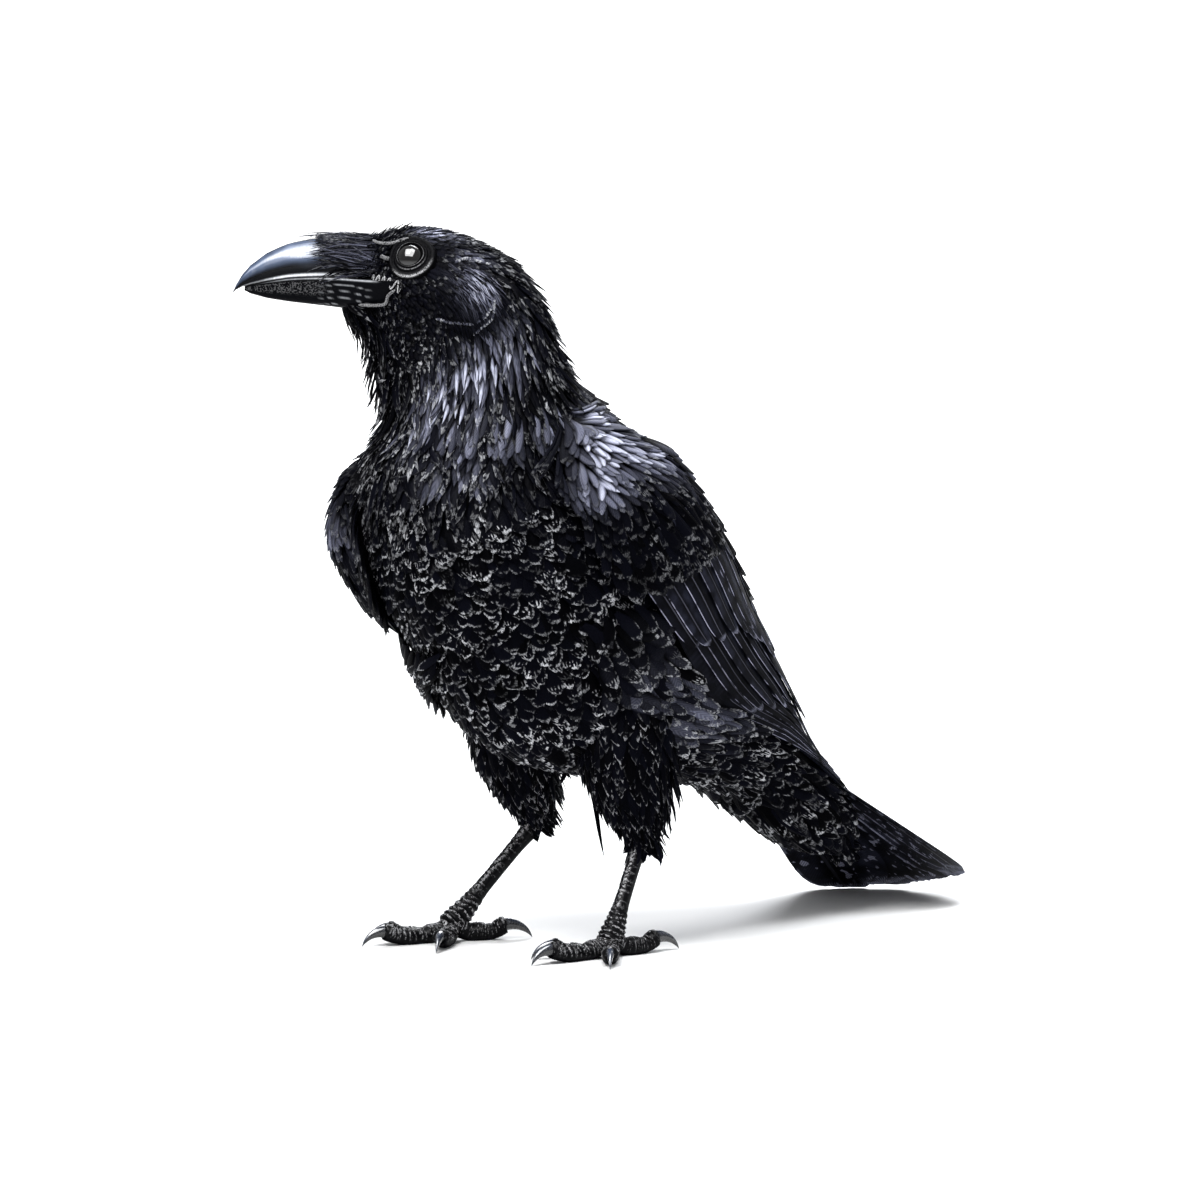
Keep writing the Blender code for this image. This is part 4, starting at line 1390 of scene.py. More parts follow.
@dataclass
class EyeBall:
    """The eyes: wet dark balls set in the head, each in a ring of wrinkled lids."""

    trunk: Trunk
    place = (2.78, 43.0)  # station and degrees
    sunk = 0.0052  # its middle under the hull
    radius = 0.0082
    bulge, bulge_angle = 0.05, 33.0  # the cornea's height as a share of the radius, and its spread in degrees
    crease = 0.00007  # height of the lids' wrinkles
    # lids: distance from the eye's axis, height over the hull
    lid_rows = ((0.0062, -0.0012), (0.0064, 0.0002), (0.0067, 0.0008), (0.0071, 0.0008), (0.0075, 0.0001),
                (0.008, 0.0005), (0.0085, 0.0004), (0.0093, -0.0003), (0.0104, 0.0006), (0.0114, 0.0007),
                (0.0122, -0.0002), (0.0128, -0.0014), (0.0134, -0.0028), (0.0098, -0.0034), (0.0072, -0.0032))

    def home(self, side: int) -> Pair:
        """The eye's station and degrees on its side."""
        return self.place[0], on_side(self.place[1], side)

    def ball(self, side: int) -> Shape:
        """A ball of rings round the line of sight, with bulge x exp(-(angle / bulge_angle)²) on its radius.

        Args:
            side: 1 for the left eye, -1 for the right one.

        Returns:
            The ball. Its lay holds the angle from the line of sight.
        """
        middle = box_middle("eye_left" if side > 0 else "eye_right")
        sight = self.trunk.points(*self.home(side), 0.0) - middle
        sight /= np.linalg.norm(sight)
        level = np.cross(UP, sight)
        level /= np.linalg.norm(level)
        upward = np.cross(sight, level)
        polar = np.linspace(0.5, 179.5, 40)[:, None, None]
        turn = np.linspace(0.0, 360.0, 48, endpoint=False)[None, :, None]
        radius = self.radius * (1.0 + self.bulge * bell(polar, 0.0, self.bulge_angle))
        round_sight = np.cos(np.radians(turn)) * level + np.sin(np.radians(turn)) * upward
        flat = np.sin(np.radians(polar)) * round_sight
        rings = middle + radius * (np.cos(np.radians(polar)) * sight + flat)
        return Shape.tube(rings, lay_of(polar[..., 0] / 180.0 + 0.0 * turn[..., 0]))

    def lids(self, side: int) -> Shape:
        """Rings of folds round the eye: lid_rows carried round it on the head's form, wrinkled by sines.

        Args:
            side: 1 for the left eye, -1 for the right one.

        Returns:
            The lids. Their lay holds the painted glints on the folds.
        """
        u, v = self.home(side)
        run, drift = self.trunk.scale(np.array(u), np.array(v))
        turn = np.radians(np.linspace(0.0, 360.0, 120, endpoint=False))[None, :]
        row = np.linspace(0.0, len(self.lid_rows) - 1.0, 57)[:, None]
        reach, height = columns(smooth(self.lid_rows, row))
        reach = reach * (1.0 + 0.1 * step_up(0.0068, 0.0108, reach) * np.clip(-np.sin(turn), 0, 1))
        crease = np.sin(turn * 31.0 + 900.0 * reach) + 0.7 * np.sin(turn * 17.0 - 1500.0 * reach)
        shown = step_up(0.006, 0.0072, reach) * (row < 11.5)
        height = height + self.crease * crease * shown
        along, across = reach * np.cos(turn) / run, side * reach * np.sin(turn) / drift
        points = self.trunk.points(u + along, v + across, height)
        # painted glints: two crests, pale only on the lower back side, and the lid's edge
        crest = 0.45 * bell(row, 5.4, 0.4) + 1.1 * bell(row, 8.6, 0.5)
        lower = np.clip(1.8 * np.cos(turn + 1.1) - 0.7, 0.0, 1.0)
        edge = 0.6 * bell(row, 2.6, 0.28) * np.clip(0.55 + 0.45 * np.cos(turn * 2.0 + 0.6), 0.1, 1.0)
        return Shape.tube(points, lay_of(np.clip(crest * lower + edge, 0.0, 1.0)), flip=side > 0, around=True)

    def make(self) -> None:
        """Makes both eyes and their lids."""
        finish, skin = EyeFinish("eye").build(), BareSkinFinish("lid_skin", folded=True).build()
        for name, side in SIDES.items():
            declare(self.ball(side).build(f"eyeball_{name}", finish), "eye", f"eye_{name}")
            declare(self.lids(side).build(f"lids_{name}", skin), "plumage")

    def clear_of(self, roots: Roots, margin: float) -> Array:
        """Tells which feathers keep off the eyes.

        Args:
            roots: The feathers.
            margin: How far root, middle and tip have to be from the eyes' middles.

        Returns:
            True where they do.
        """
        run, _ = self.trunk.scale(roots.u, roots.v)
        keep = np.ones(roots.u.shape, bool)
        for side in SIDES.values():
            eye = self.trunk.points(*self.home(side))
            for share in (0.0, 0.5, 1.0):
                there = self.trunk.raw(roots.u + share * roots.length / run, roots.v)
                keep &= np.linalg.norm(there - eye, axis=-1) > margin
        return keep


@dataclass
class Bill:
    """The stout bill: two halves of polished horn, the upper one hooked over the lower."""

    trunk: Trunk
    # y in the unturned head, heights of the culmen, the cutting edge and the underside, half widths
    rows = ((-0.1686, 0.3623, 0.3615, 0.361, 0.0007, 0.0004),
            (-0.1667, 0.3662, 0.3632, 0.3624, 0.0018, 0.0008),
            (-0.1634, 0.3716, 0.365, 0.3632, 0.0031, 0.0013),
            (-0.159, 0.3767, 0.3665, 0.3612, 0.0045, 0.0036),
            (-0.1502, 0.3832, 0.3686, 0.3588, 0.0064, 0.0056),
            (-0.1382, 0.3885, 0.3707, 0.3569, 0.0082, 0.0074),
            (-0.1242, 0.3913, 0.3717, 0.3553, 0.0102, 0.0098),
            (-0.1102, 0.3922, 0.372, 0.354, 0.0124, 0.0146),
            (-0.0952, 0.3904, 0.3722, 0.353, 0.0152, 0.0226),
            (-0.0812, 0.3868, 0.3724, 0.354, 0.0185, 0.0276))
    lower_tip = -0.1622
    seam = 0.0003  # half the gap between the halves
    polish = {"upper": 0.16, "lower": 0.014}

    def upper_lay(self, shown: Array, y: Array) -> Array:
        """The upper half's painted blue highlight along its side, fainter at the tip and on the ridge, and a
        painted highlight line along its cutting edge.

        Args:
            shown: Height on the arch, from 0 at the cutting edge to 1 on the ridge.
            y: Places along the bill.

        Returns:
            The lay attribute.
        """
        # painted highlight line along the cutting edge
        line = 1.2 * bell(shown, 0.055, 0.03) * (0.25 + step_up(-0.154, -0.14, y))
        line = line * (1.0 - 0.45 * step_up(-0.112, -0.092, y))
        rear = step_up(-0.146, -0.128, y)
        band = bell(shown + 0.1 * rear, 0.78, 0.1 + 0.12 * rear)
        tip = np.interp(y, (-0.168, -0.16, -0.14), (0.3, 0.8, 1.0))
        # painted blue highlight along the upper side, fainter at the tip and on the ridge
        highlight_blue = (0.48 * step_up(0.34, 0.6, shown) + 0.52 * band) * tip
        return lay_of(highlight_blue * (1.0 - step_up(0.975, 1.0, shown)), line, 0.0)

    def lower_lay(self, shown: Array, y: Array) -> Array:
        """The lower half's grey dotted band, and painted highlights: pale lines on the grooves under the
        mouth's corner and along its edge.

        Args:
            shown: Height on the arch, from 0 at the cutting edge to 1 on the underside.
            y: Places along the bill.

        Returns:
            The lay attribute.
        """
        rear = step_up(-0.128, -0.112, y)
        groove = 0.5 + 0.5 * np.sin(shown * 30.0 + 2.0 * np.sin(y * 160.0))
        # a grey dotted band along the side
        band = step_up(0.08, 0.2, shown) * (1.0 - step_up(0.5, 0.7, shown)) * (1.0 - rear)
        # painted highlights: pale lines on the grooves' ridges and along the edge
        ridges = step_up(0.93, 1.0, groove) * rear * step_up(-0.09, -0.1, y) * (shown > 0.1)
        lip = bell(shown, 0.03, 0.022) * step_up(-0.158, -0.135, y) * step_up(-0.088, -0.094, y)
        return lay_of(0.0, lip * 0.7 + 0.32 * ridges, band)

    def half(self, upper: bool) -> Shape:
        """One half: an arch of half width x cos and height x sin^0.85 over a flat, a little hollow side.

        Args:
            upper: True for the upper bill.

        Returns:
            The shape. Its lay holds the painted blue highlight, the painted highlight lines and the grey
            dotted band.
        """
        tip = self.rows[0][0] if upper else self.lower_tip
        y = tip + (self.rows[-1][0] - tip) * np.linspace(0.0, 1.0, 90)[:, None] ** 1.4
        culmen, edge, gonys, upper_width, lower_width = columns(between(self.rows, y))
        far, width = (culmen, upper_width) if upper else (gonys, lower_width)
        near = edge + (self.seam if upper else -self.seam)
        arch = 0.5 * np.pi * (1.0 - np.cos(np.linspace(0.0, np.pi, 57)))[None, :]
        palate = np.linspace(-0.94, 0.94, 15)[None, :]
        rise = np.sin(arch) ** 0.85
        lip = 1.0 + 0.05 * bell(np.abs(np.cos(arch)), 1.0, 0.03) * (y > -0.155)
        square = 1.0 if upper else 1.0 - 0.5 * step_up(-0.132, -0.1, y)
        bow = np.sign(np.cos(arch)) * np.abs(np.cos(arch)) ** square
        x = np.concatenate([width * bow * lip, width * palate], axis=1)
        hollow = 0.1 * (1.0 - palate**2) * (far - near)
        z = np.concatenate([near + (far - near) * rise, near + hollow], axis=1)
        shown = np.concatenate([rise, np.zeros_like(palate)], axis=1) + 0 * y
        lay = self.upper_lay(shown, y) if upper else self.lower_lay(shown, y)
        return Shape.tube(self.trunk.turned(x, y, z), lay, flip=upper)

    def make(self) -> None:
        """Makes both halves."""
        for half, polish in self.polish.items():
            finish = HornFinish(f"bill_{half}_horn", shine=polish / 2, polish=polish).build()
            piece = self.half(half == "upper").build(f"horn_bill_{half}", finish, 50.0)
            declare(piece, "bill_horn", f"bill_{half}")


@dataclass
class Folds:
    """Ridges of bare skin on the face: the wavy gape, the corner behind it, and the brow."""

    trunk: Trunk
    # places (station, degrees), radius, waves along it, their height in degrees, how pale its painted glint
    # is
    ridges = {
        "gape": (((1.6, 13.0), (2.0, 13.0), (2.4, 12.5), (2.9, 11.5)), 0.00046, 5.0, 4.6, 1.2),
        "corner": (((2.72, 8.5), (2.52, 1.0), (2.48, -7.5), (1.85, -16.5), (1.25, -23.0)), 0.0009, 0.0, 0.0,
                   0.5),
        "brow": (((1.2, 76.0), (1.5, 63.5), (1.9, 57.0), (2.25, 56.5), (2.65, 61.0)), 0.00085, 0.0, 0.0, 0.6),
        "lore": (((1.75, 42.0), (1.95, 39.0), (2.15, 37.5)), 0.0011, 0.0, 0.0, 0.4),
    }
    height = 0.0009
    sides = 10

    def make(self) -> None:
        """Makes the ridges of both sides as one piece, each a tapering tube with painted glints over it."""
        shapes = []
        for path, radius, waves, swing, pale in self.ridges.values():
            share = np.linspace(0.0, 1.0, 90)
            u, v = columns(smooth(path, share * (len(path) - 1)))
            v = v + swing * np.sin(share * waves * 2 * np.pi)
            thick = radius * np.sqrt(np.clip(np.minimum(share, 1.0 - share) / 0.12, 0.03, 1.0))
            for places in (v, 180.0 - v):
                line = self.trunk.points(u, places, self.height - 0.5 * radius)
                rings = rings_along(line, thick, self.sides, side_axis=UP)
                shapes.append(Shape.tube(rings, lay_of(pale * np.ones(rings.shape[:2]))))
        finish = BareSkinFinish("fold_skin", folded=True).build()
        declare(Shape.joined(shapes).build("face_folds", finish), "plumage")


@dataclass
class Leg:
    """One leg: a bare scaled shank, four ringed toes with padded soles, and long curved claws."""

    name: str
    side: int
    foot: Pair
    hock: Triple
    thigh: Triple
    radii: tuple[float, ...]
    heading: float
    spread: dict[str, float]
    shank_radius = 0.0043
    joint_height = 0.0095
    press = 0.0008  # how far the pads sink onto the floor
    toe_rise = 0.0036  # how far a toe's end rises towards its claw
    # angle from the middle toe, reach to the claw, radius, claw length, plates
    toes = {"middle": (0.0, 0.04, 0.005, 0.0195, 18), "outer": (40.0, 0.034, 0.0046, 0.017, 16),
            "inner": (-40.0, 0.032, 0.0047, 0.018, 15), "hind": (176.0, 0.029, 0.0052, 0.0215, 13)}

    def plates(self, share: Array, count: float) -> tuple[Array, Array]:
        """Overlapping plates along a limb.

        Args:
            share: Places along the limb.
            count: How many plates there are.

        Returns:
            A height that rises along each plate and drops at its edge, and a mask of the edges.
        """
        part = (share * count + 0.3 * np.sin(share * 37.0) + 0.2 * np.sin(share * 83.0)) % 1.0
        height = step_up(0.0, 0.25, part) * (0.55 + 0.45 * part) * (1.0 - step_up(0.9, 1.0, part))
        return height, step_up(0.62, 0.8, part) * (1.0 - step_up(0.9, 1.0, part))

    def on_floor(self, rings: Array, offset: Array) -> Array:
        """Rings flattened where they meet the floor, and carried onto the frame along it."""
        rings[..., 2] = np.maximum(rings[..., 2], 0.0)
        return rings + offset * (1, 1, 0)

    def toe(self, name: str, offset: Array) -> tuple[Shape, Array, Array]:
        """One toe, ringed above and padded below, flat where it meets the floor.

        Args:
            name: Which toe.
            offset: The frame's offset.

        Returns:
            The shape, the point where its claw starts, and the way it points.
        """
        angle, reach, radius, _, count = self.toes[name]
        heading = np.radians(-self.heading + self.side * self.spread.get(name, angle))
        ahead = np.array([np.sin(heading), -np.cos(heading), 0.0])
        share = np.linspace(0.0, 1.04, 7 * count)
        height = self.joint_height + (radius * 0.9 - self.joint_height) * np.clip(share / 0.38, 0, 1) ** 0.8
        height = height + self.toe_rise * np.clip((share - 0.62) / 0.38, 0, 1) ** 2 - self.press
        path = np.array([*self.foot, 0.0]) + ahead * (reach * share)[:, None] + UP * height[:, None]
        joints = 2 if name == "hind" else 3
        knuckle = 1.0 + 0.09 * np.cos(2 * np.pi * share * joints) - 0.17 * share
        knuckle = knuckle * np.sqrt(np.clip((1.052 - share) / 0.06, 0.02, 1.0))
        turn = turns(24)
        top = np.clip(np.sin(turn)[None, :] + 0.45, 0.0, 1.0)
        wander = 0.014 * np.cos(turn * 2.0)[None, :] + 0.006 * np.sin(turn * 5.0 + 40.0 * share[:, None])
        plate, edge = self.plates(share[:, None] + wander, count)
        below = np.clip(-np.sin(turn)[None, :], 0, 1)
        pads = 0.1 * below * np.cos(2 * np.pi * share[:, None] * joints + 3.1)
        wart = 0.03 * np.sin(turn * 9.0)[None, :] * np.sin(share[:, None] * 150.0) * (1.0 - top)
        radii = radius * 1.09 * knuckle[:, None] * (0.92 + 0.17 * plate * top + pads * 0.8 + wart)
        rings = rings_along(path, radii, len(turn), side_axis=np.cross(ahead, UP))
        sole = np.clip(-np.sin(turn)[None, :] * 1.4 - 0.2, 0.0, 1.0) + 0 * edge
        # painted glints on the plates' edges, on the upper side of the toe only
        shape = Shape.tube(self.on_floor(rings, offset), lay_of(edge * top, sole))
        end = np.array([*self.foot, 0.0]) + ahead * reach + UP * (radius * 0.9 + self.toe_rise - self.press)
        return shape, end, ahead

    def claw(self, name: str, end: Array, ahead: Array, offset: Array) -> Shape:
        """One claw: a horn that turns down along an arc, deep at its root, to a point on the floor.

        Args:
            name: Which toe it is on.
            end: Where it starts.
            ahead: The way its toe points.
            offset: The frame's offset.

        Returns:
            The shape.
        """
        _, _, radius, length, _ = self.toes[name]
        share = np.linspace(0.0, 1.0, 34)
        pitch = np.radians(18.0 - 82.0 * share)
        step = length / (len(share) - 1)
        forward = np.cumsum(np.cos(pitch)) * step - 0.003
        rise = np.cumsum(np.sin(pitch)) * step - 0.0006
        rise = rise - share**2 * (rise[-1] + end[2] - 0.0003)
        path = end + ahead * forward[:, None] + UP * rise[:, None]
        turn = turns(18)
        keel = 1.0 - 0.22 * np.clip(-np.sin(turn), 0, 1)
        radii = (radius * 0.84 * (1.0 - share**1.3) + 0.00012)[:, None] * keel[None, :]
        rings = rings_along(path, radii, len(turn), wide=0.72, side_axis=np.cross(ahead, UP))
        # painted highlight along the claw's top; a faint grey dotted band all over
        claw_top_highlight = np.clip(np.sin(turn), 0, 1)[None, :] ** 2 * step_up(0.05, 0.3, share)[:, None]
        return Shape.tube(self.on_floor(rings, offset), lay_of(0.22 * claw_top_highlight, 0.0, 0.15))

    def shank(self, offset: Array) -> Shape:
        """The bare shank: plates down its front, a smooth back edge, and folds of skin over the toes' joint.

        Args:
            offset: The frame's offset.

        Returns:
            The shape.
        """
        foot, hock = np.array([*self.foot, self.joint_height]), np.array(self.hock)
        away = (foot - hock) / np.linalg.norm(foot - hock)
        share = np.linspace(0.0, 1.0, 150)
        path = hock - away * 0.01 + (foot - hock + away * 0.012) * share[:, None]
        turn = turns(28)
        front = np.clip(-np.sin(turn) + 0.35, 0.0, 1.0)[None, :]
        plate, edge = self.plates(share[:, None], 12.0)
        low = step_up(0.66, 0.8, share)[:, None]
        bends = 2.0 * np.sin(turn)[None, :] + 1.3 * np.sin(3.0 * turn[None, :] + 25.0 * share[:, None])
        fold = (0.5 + 0.5 * np.sin(share[:, None] * 150.0 + bends)) * low
        swell = 1.0 + 0.28 * bell(share, 0.15, 0.12) + 0.7 * bell(share, 1.0, 0.19)
        back = np.clip(np.sin(turn), 0, 1)[None, :] ** 3
        rough = 0.95 + 0.09 * plate * front * (1 - low) + 0.17 * fold + 0.12 * back
        radii = self.shank_radius * swell[:, None] * rough
        rings = rings_along(path, radii, len(turn), wide=0.84) + offset * (1, 1, 0)
        # painted highlight: a bright line down one side of the shank, and painted glints on the front plates'
        # edges and the folds' crests
        glossy = bell(turn, 5.2, 0.2)[None, :] * (1 - low)
        pale = np.maximum(0.35 * edge * front * (1 - low), step_up(0.8, 0.97, fold)) + glossy
        return Shape.tube(rings, lay_of(np.clip(pale, 0, 1)))

    def make(self, offset: Array, scaled: Material, horn: Material) -> None:
        """Makes the shank, the toes and the claws.

        Args:
            offset: The frame's offset.
            scaled: The finish of shank and toes.
            horn: The finish of the claws.
        """
        shapes = [self.shank(offset)]
        for name in self.toes:
            shape, end, ahead = self.toe(name, offset)
            shapes.append(shape)
            claw = self.claw(name, end, ahead, offset).build(f"talon_{self.name}_{name}", horn, 50.0)
            declare(claw, "claw_horn", f"claw_{self.name}_{name}")
        foot = Shape.joined(shapes).build(f"scaled_foot_{self.name}", scaled, 50.0)
        declare(foot, "scaled_skin", f"foot_{self.name}")


LEFT_LEG = Leg("left", 1, (0.0515, 0.015), (0.042, 0.044, 0.06), (0.036, 0.04, 0.142),
               (0.03, 0.031, 0.029, 0.0245, 0.018, 0.009), 1.5, {"outer": 52.0, "inner": -22.0})
RIGHT_LEG = Leg("right", -1, (-0.044, -0.018), (-0.042, 0.04, 0.061), (-0.037, 0.018, 0.136),
                (0.028, 0.028, 0.0255, 0.021, 0.0155, 0.009), 14.0,
                {"outer": 22.0, "inner": -54.0, "hind": -168.0})


@dataclass
class Skin:
    """One skin over head, neck, body, wings' flesh and thighs, inside them by the coat's depth."""

    trunk: Trunk
    wings: tuple[FoldedWing, FoldedWing]
    thighs: tuple[Thigh, Thigh]
    voxel = 0.002
    hull_end = 18.65  # the last station
    wing_span = (0.55, 16.8)  # stations from its bend to where its flesh starts, and where it ends
    wing_edges = (0.07, 0.93)  # shares across
    wing_depth, inner_depth = 0.0058, 0.0075  # of a wing's flesh under its form and, inside, under the hull
    thigh_depth = 0.0035

    def shapes(self) -> list[Shape]:
        """The closed shapes that are fused: the hull, a shell for each wing and a bag for each thigh."""
        u = np.linspace(0.0, self.hull_end, 190)[:, None]
        around = np.linspace(0.0, 360.0, 96, endpoint=False)[None, :]
        made = [Shape.tube(self.trunk.points(u, around, -self.trunk.depth(u)))]
        for wing in self.wings:
            u = np.linspace(wing.bend + self.wing_span[0], self.wing_span[1], 60)[:, None]
            v = np.linspace(*self.wing_edges, 24)[None, :]
            outside = wing.points(u, v, -self.wing_depth)
            lower, upper = wing.edges(u)
            angle = on_side(lower + (upper - lower) * v[:, ::-1], wing.side)
            inside = self.trunk.points(u, angle, -self.inner_depth)
            made.append(Shape.tube(np.concatenate([outside, inside], axis=1), flip=wing.side < 0))
        for thigh in self.thighs:
            u, v = np.linspace(0.0, 1.0, 50)[:, None], np.linspace(*CIRCLE, 40, endpoint=False)[None, :]
            made.append(Shape.tube(thigh.points(u, v, -self.thigh_depth), flip=True))
        return made

    def make(self) -> None:
        """Fuses the shapes in a fine voxel grid and smooths the joins, so that it is one seamless skin."""
        finish = BareSkinFinish("bare_skin").build()
        draft = Shape.joined(self.shapes()).build("skin_draft", finish)
        remesh = draft.modifiers.new("fuse", "REMESH")
        remesh.mode, remesh.voxel_size, remesh.use_smooth_shade = "VOXEL", self.voxel, True
        relax = draft.modifiers.new("relax", "SMOOTH")
        relax.factor, relax.iterations = 0.5, 6
        graph = bpy.context.evaluated_depsgraph_get()
        mesh = bpy.data.meshes.new_from_object(draft.evaluated_get(graph))
        bpy.data.objects.remove(draft)
        mesh.materials.clear()
        mesh.materials.append(finish)
        nodes = ("head", "neck", "breast", "belly", "mantle", "thigh_left", "thigh_right")
        declare(put("skin", mesh), "plumage", *nodes)


@dataclass
class Coat:
    """The small feathers of head, neck, body and thighs."""

    trunk: Trunk
    wings: tuple[FoldedWing, FoldedWing]
    thighs: tuple[Thigh, Thigh]
    eyes: EyeBall
    eye_margin, ear_margin = 0.0114, 0.013  # how far feathers keep off the eyes' middles
    wing_margin = 10.0  # degrees that the coat runs on under the wings' edges
    collar_line = (6.5, -6.0, 0.02)  # a station, the height round the neck there, stations for each degree
    collar_heights, collar_reach = (-36.0, 62.0), (-0.2, 0.34)
    ear_oval = ((4.2, 0.85), (31.0, 23.0))  # middle and half size, in stations and in height round the head
    # where the lower bill's bare horn ends: height round the head, first feathered station
    jaw_line = ((-90.0, 0.05), (-54.0, 0.05), (-46.0, 0.4), (-38.0, 0.85), (-28.0, 1.45), (-18.0, 2.0),
                (-6.0, 2.3), (6.0, 2.45), (12.0, 2.3), (17.0, 1.0), (24.0, 0.3), (90.0, 0.2))
    lean = ((0.0, 0.0), (2.0, 0.0), (3.0, 12.0), (5.0, 30.0), (6.2, 42.0), (7.4, 38.0), (8.5, 20.0),
            (10.5, 4.0), (19.0, 0.0))
    # areas of painted sheen: u and v of the middle, spreads along u and v, strength
    # crown, ear, five of the neck's hackles, breast, flank
    gloss = ((2.75, 77.0, 0.5, 8.0, 0.85), (3.95, 59.0, 0.3, 7.0, 0.45), (5.75, 34.0, 0.42, 11.0, 1.0),
             (5.5, 12.0, 0.45, 13.0, 1.05), (5.25, -14.0, 0.45, 13.0, 1.05), (5.5, -40.0, 0.5, 15.0, 0.9),
             (6.1, -8.0, 0.4, 15.0, 0.55), (7.1, -28.0, 0.4, 16.0, 0.35), (12.6, 5.0, 0.9, 10.0, 0.1))
    # areas without painted glints: ear, cheek, brow, collar, neck
    hush = ((4.5, 32.0, 0.7, 19.0, 1.3), (3.2, 8.0, 1.0, 28.0, 1.0), (3.2, 66.0, 0.9, 16.0, 0.9),
            (7.0, 15.0, 0.5, 22.0, 0.8), (5.6, 5.0, 0.6, 40.0, 0.6))
    # more areas of painted sheen: collar, ear and bristles
    collar_gloss = ((6.8, 16.0, 0.5, 18.0, 0.42), (6.5, -12.0, 0.4, 10.0, 0.42), (7.5, 46.0, 0.5, 12.0, 0.9))
    ear_gloss = ((4.3, 43.0, 0.45, 12.0, 1.0),)
    bristle_gloss = ((0.4, 0.2, 0.8, 2.0, 0.4),)
    # the ear patch's rim of painted glints, the shorter one behind it, and the one over it
    ear_rims = (((5.0, 40.5), (5.1, 36.0), (5.15, 27.0), (5.05, 18.0), (4.7, 10.5), (4.45, 7.5)),
                ((5.1, 37.5), (5.27, 28.5), (5.25, 18.0)), ((3.85, 45.0), (4.05, 52.5), (4.4, 57.0)))
    rim_size, rim_lay, rim_seed = (0.005, 0.0019, 0.001), (0.2, 0.25, 0.8), 55
    # loose strands: metres sideways, heading, length, width, bend
    strand_rows = ((-0.004, -14.0, 0.02, 0.0034, -8.0), (0.0065, 2.0, 0.058, 0.003, 5.0),
                   (0.009, 9.0, 0.03, 0.0026, -6.0), (0.017, -2.0, 0.05, 0.0036, 12.0))
    strand_lay = (0.2, 0.0, 0.3)
    face_sizes = sized((0.0, 13, 13, 42, 17, 34, -2, 0.15), (1.5, 16, 16, 52, 21, 32, 0, 0.4),
                       (3.0, 20, 20, 68, 27, 26, 2, 0.8), (4.2, 26, 25, 90, 36, 30, 4, 0.9))
    neck_sizes = sized((4.2, 36, 25, 120, 32, 34, 4, 0.9), (6.0, 58, 31, 190, 43, 48, 8, 1.0),
                       (8.4, 60, 44, 220, 60, 62, 6, 0.9))
    body_sizes = sized((8.2, 48, 60, 190, 92, 62, 6, 0.95), (10.0, 54, 70, 205, 108, 62, 6, 1.2),
                       (13.0, 58, 70, 220, 108, 62, 8, 1.4), (15.5, 66, 78, 260, 112, 62, 6, 0.85),
                       (18.5, 74, 84, 300, 110, 52, 4, 0.75))

    def feathered(self, roots: Roots) -> Array:
        """Tells which roots are behind the bill's bare horn, clear of the eyes and not under the wings.

        Args:
            roots: The roots asked about.

        Returns:
            One truth for each root.
        """
        keep = roots.u > np.interp(side_height(roots.v), *np.array(self.jaw_line).T)
        for wing in self.wings:
            keep &= ~wing.covers(roots.u, roots.v, self.wing_margin)
        return keep & self.eyes.clear_of(roots, self.eye_margin)

    def on_collar(self, roots: Roots) -> Array:
        """Tells which roots are in a slanting band on each side of the neck.

        Args:
            roots: The roots asked about.

        Returns:
            One truth for each root.
        """
        station, level, slant = self.collar_line
        height = side_height(roots.v)
        off = roots.u - (station + slant * (height - level))
        (lowest, highest), (first, last) = self.collar_heights, self.collar_reach
        return (height > lowest) & (height < highest) & (off > first) & (off < last)

    def on_ear(self, roots: Roots) -> Array:
        """Tells which roots are in an oval behind each eye, clear of the lids.

        Args:
            roots: The roots asked about.

        Returns:
            One truth for each root.
        """
        places = zip((roots.u, side_height(roots.v)), self.ear_oval)
        off = sum(((place - middle) / half) ** 2 for place, (middle, half) in places)
        return (off < 1.0) & self.eyes.clear_of(roots, self.ear_margin)

    def band(self, cut: Cut, span: Pair, sizes: Array, seed: int, **more: Any) -> Shape:
        """One band of the trunk's coat. more are other fields of its tract."""
        more |= {"gloss": self.gloss, "lean": self.lean, "hush": self.hush}
        return Tract(self.trunk, cut, span, CIRCLE, sizes, seed, **more).grown(self.feathered)

    def collar(self) -> Shape:
        """Broad smooth feathers in a slanting band below the neck, ahead of the wings."""
        sizes = sized((5.7, 62, 32, 210, 44, 40, 10, 0.1), (7.8, 70, 36, 260, 52, 50, 14, 0.1))
        tract = Tract(self.trunk, Cut.CONTOUR, (5.7, 7.8), CIRCLE, sizes, 53, self.collar_gloss, self.lean,
                      unruly=6.0, gaps=0.7)
        return tract.grown(self.on_collar)

    def ears(self) -> Shape:
        """Fine hair-like feathers over both ears, with a painted sheen."""
        sizes = sized((3.5, 17, 12, 100, 11, 16, 8, 0.0), (5.0, 19, 13, 110, 12, 16, 12, 0.0))
        tract = Tract(self.trunk, Cut.BRISTLE, (3.55, 5.0), CIRCLE, sizes, 57, self.ear_gloss, self.lean,
                      unruly=5.0, gaps=1.0)
        return tract.grown(self.on_ear)

    def rims(self) -> Shape:
        """Rows of tiny feathers round the ears, on both sides, with painted glints on their tips."""
        rows = []
        for path in self.ear_rims:
            for side in SIDES.values():
                places = [(u, on_side(v, side)) for u, v in path]
                row = row_on(self.trunk, places, 4 * len(path), self.rim_size, self.rim_lay)
                rows.append(grow(self.trunk, row, Cut.SMALL, self.rim_seed))
        return Shape.joined(rows)

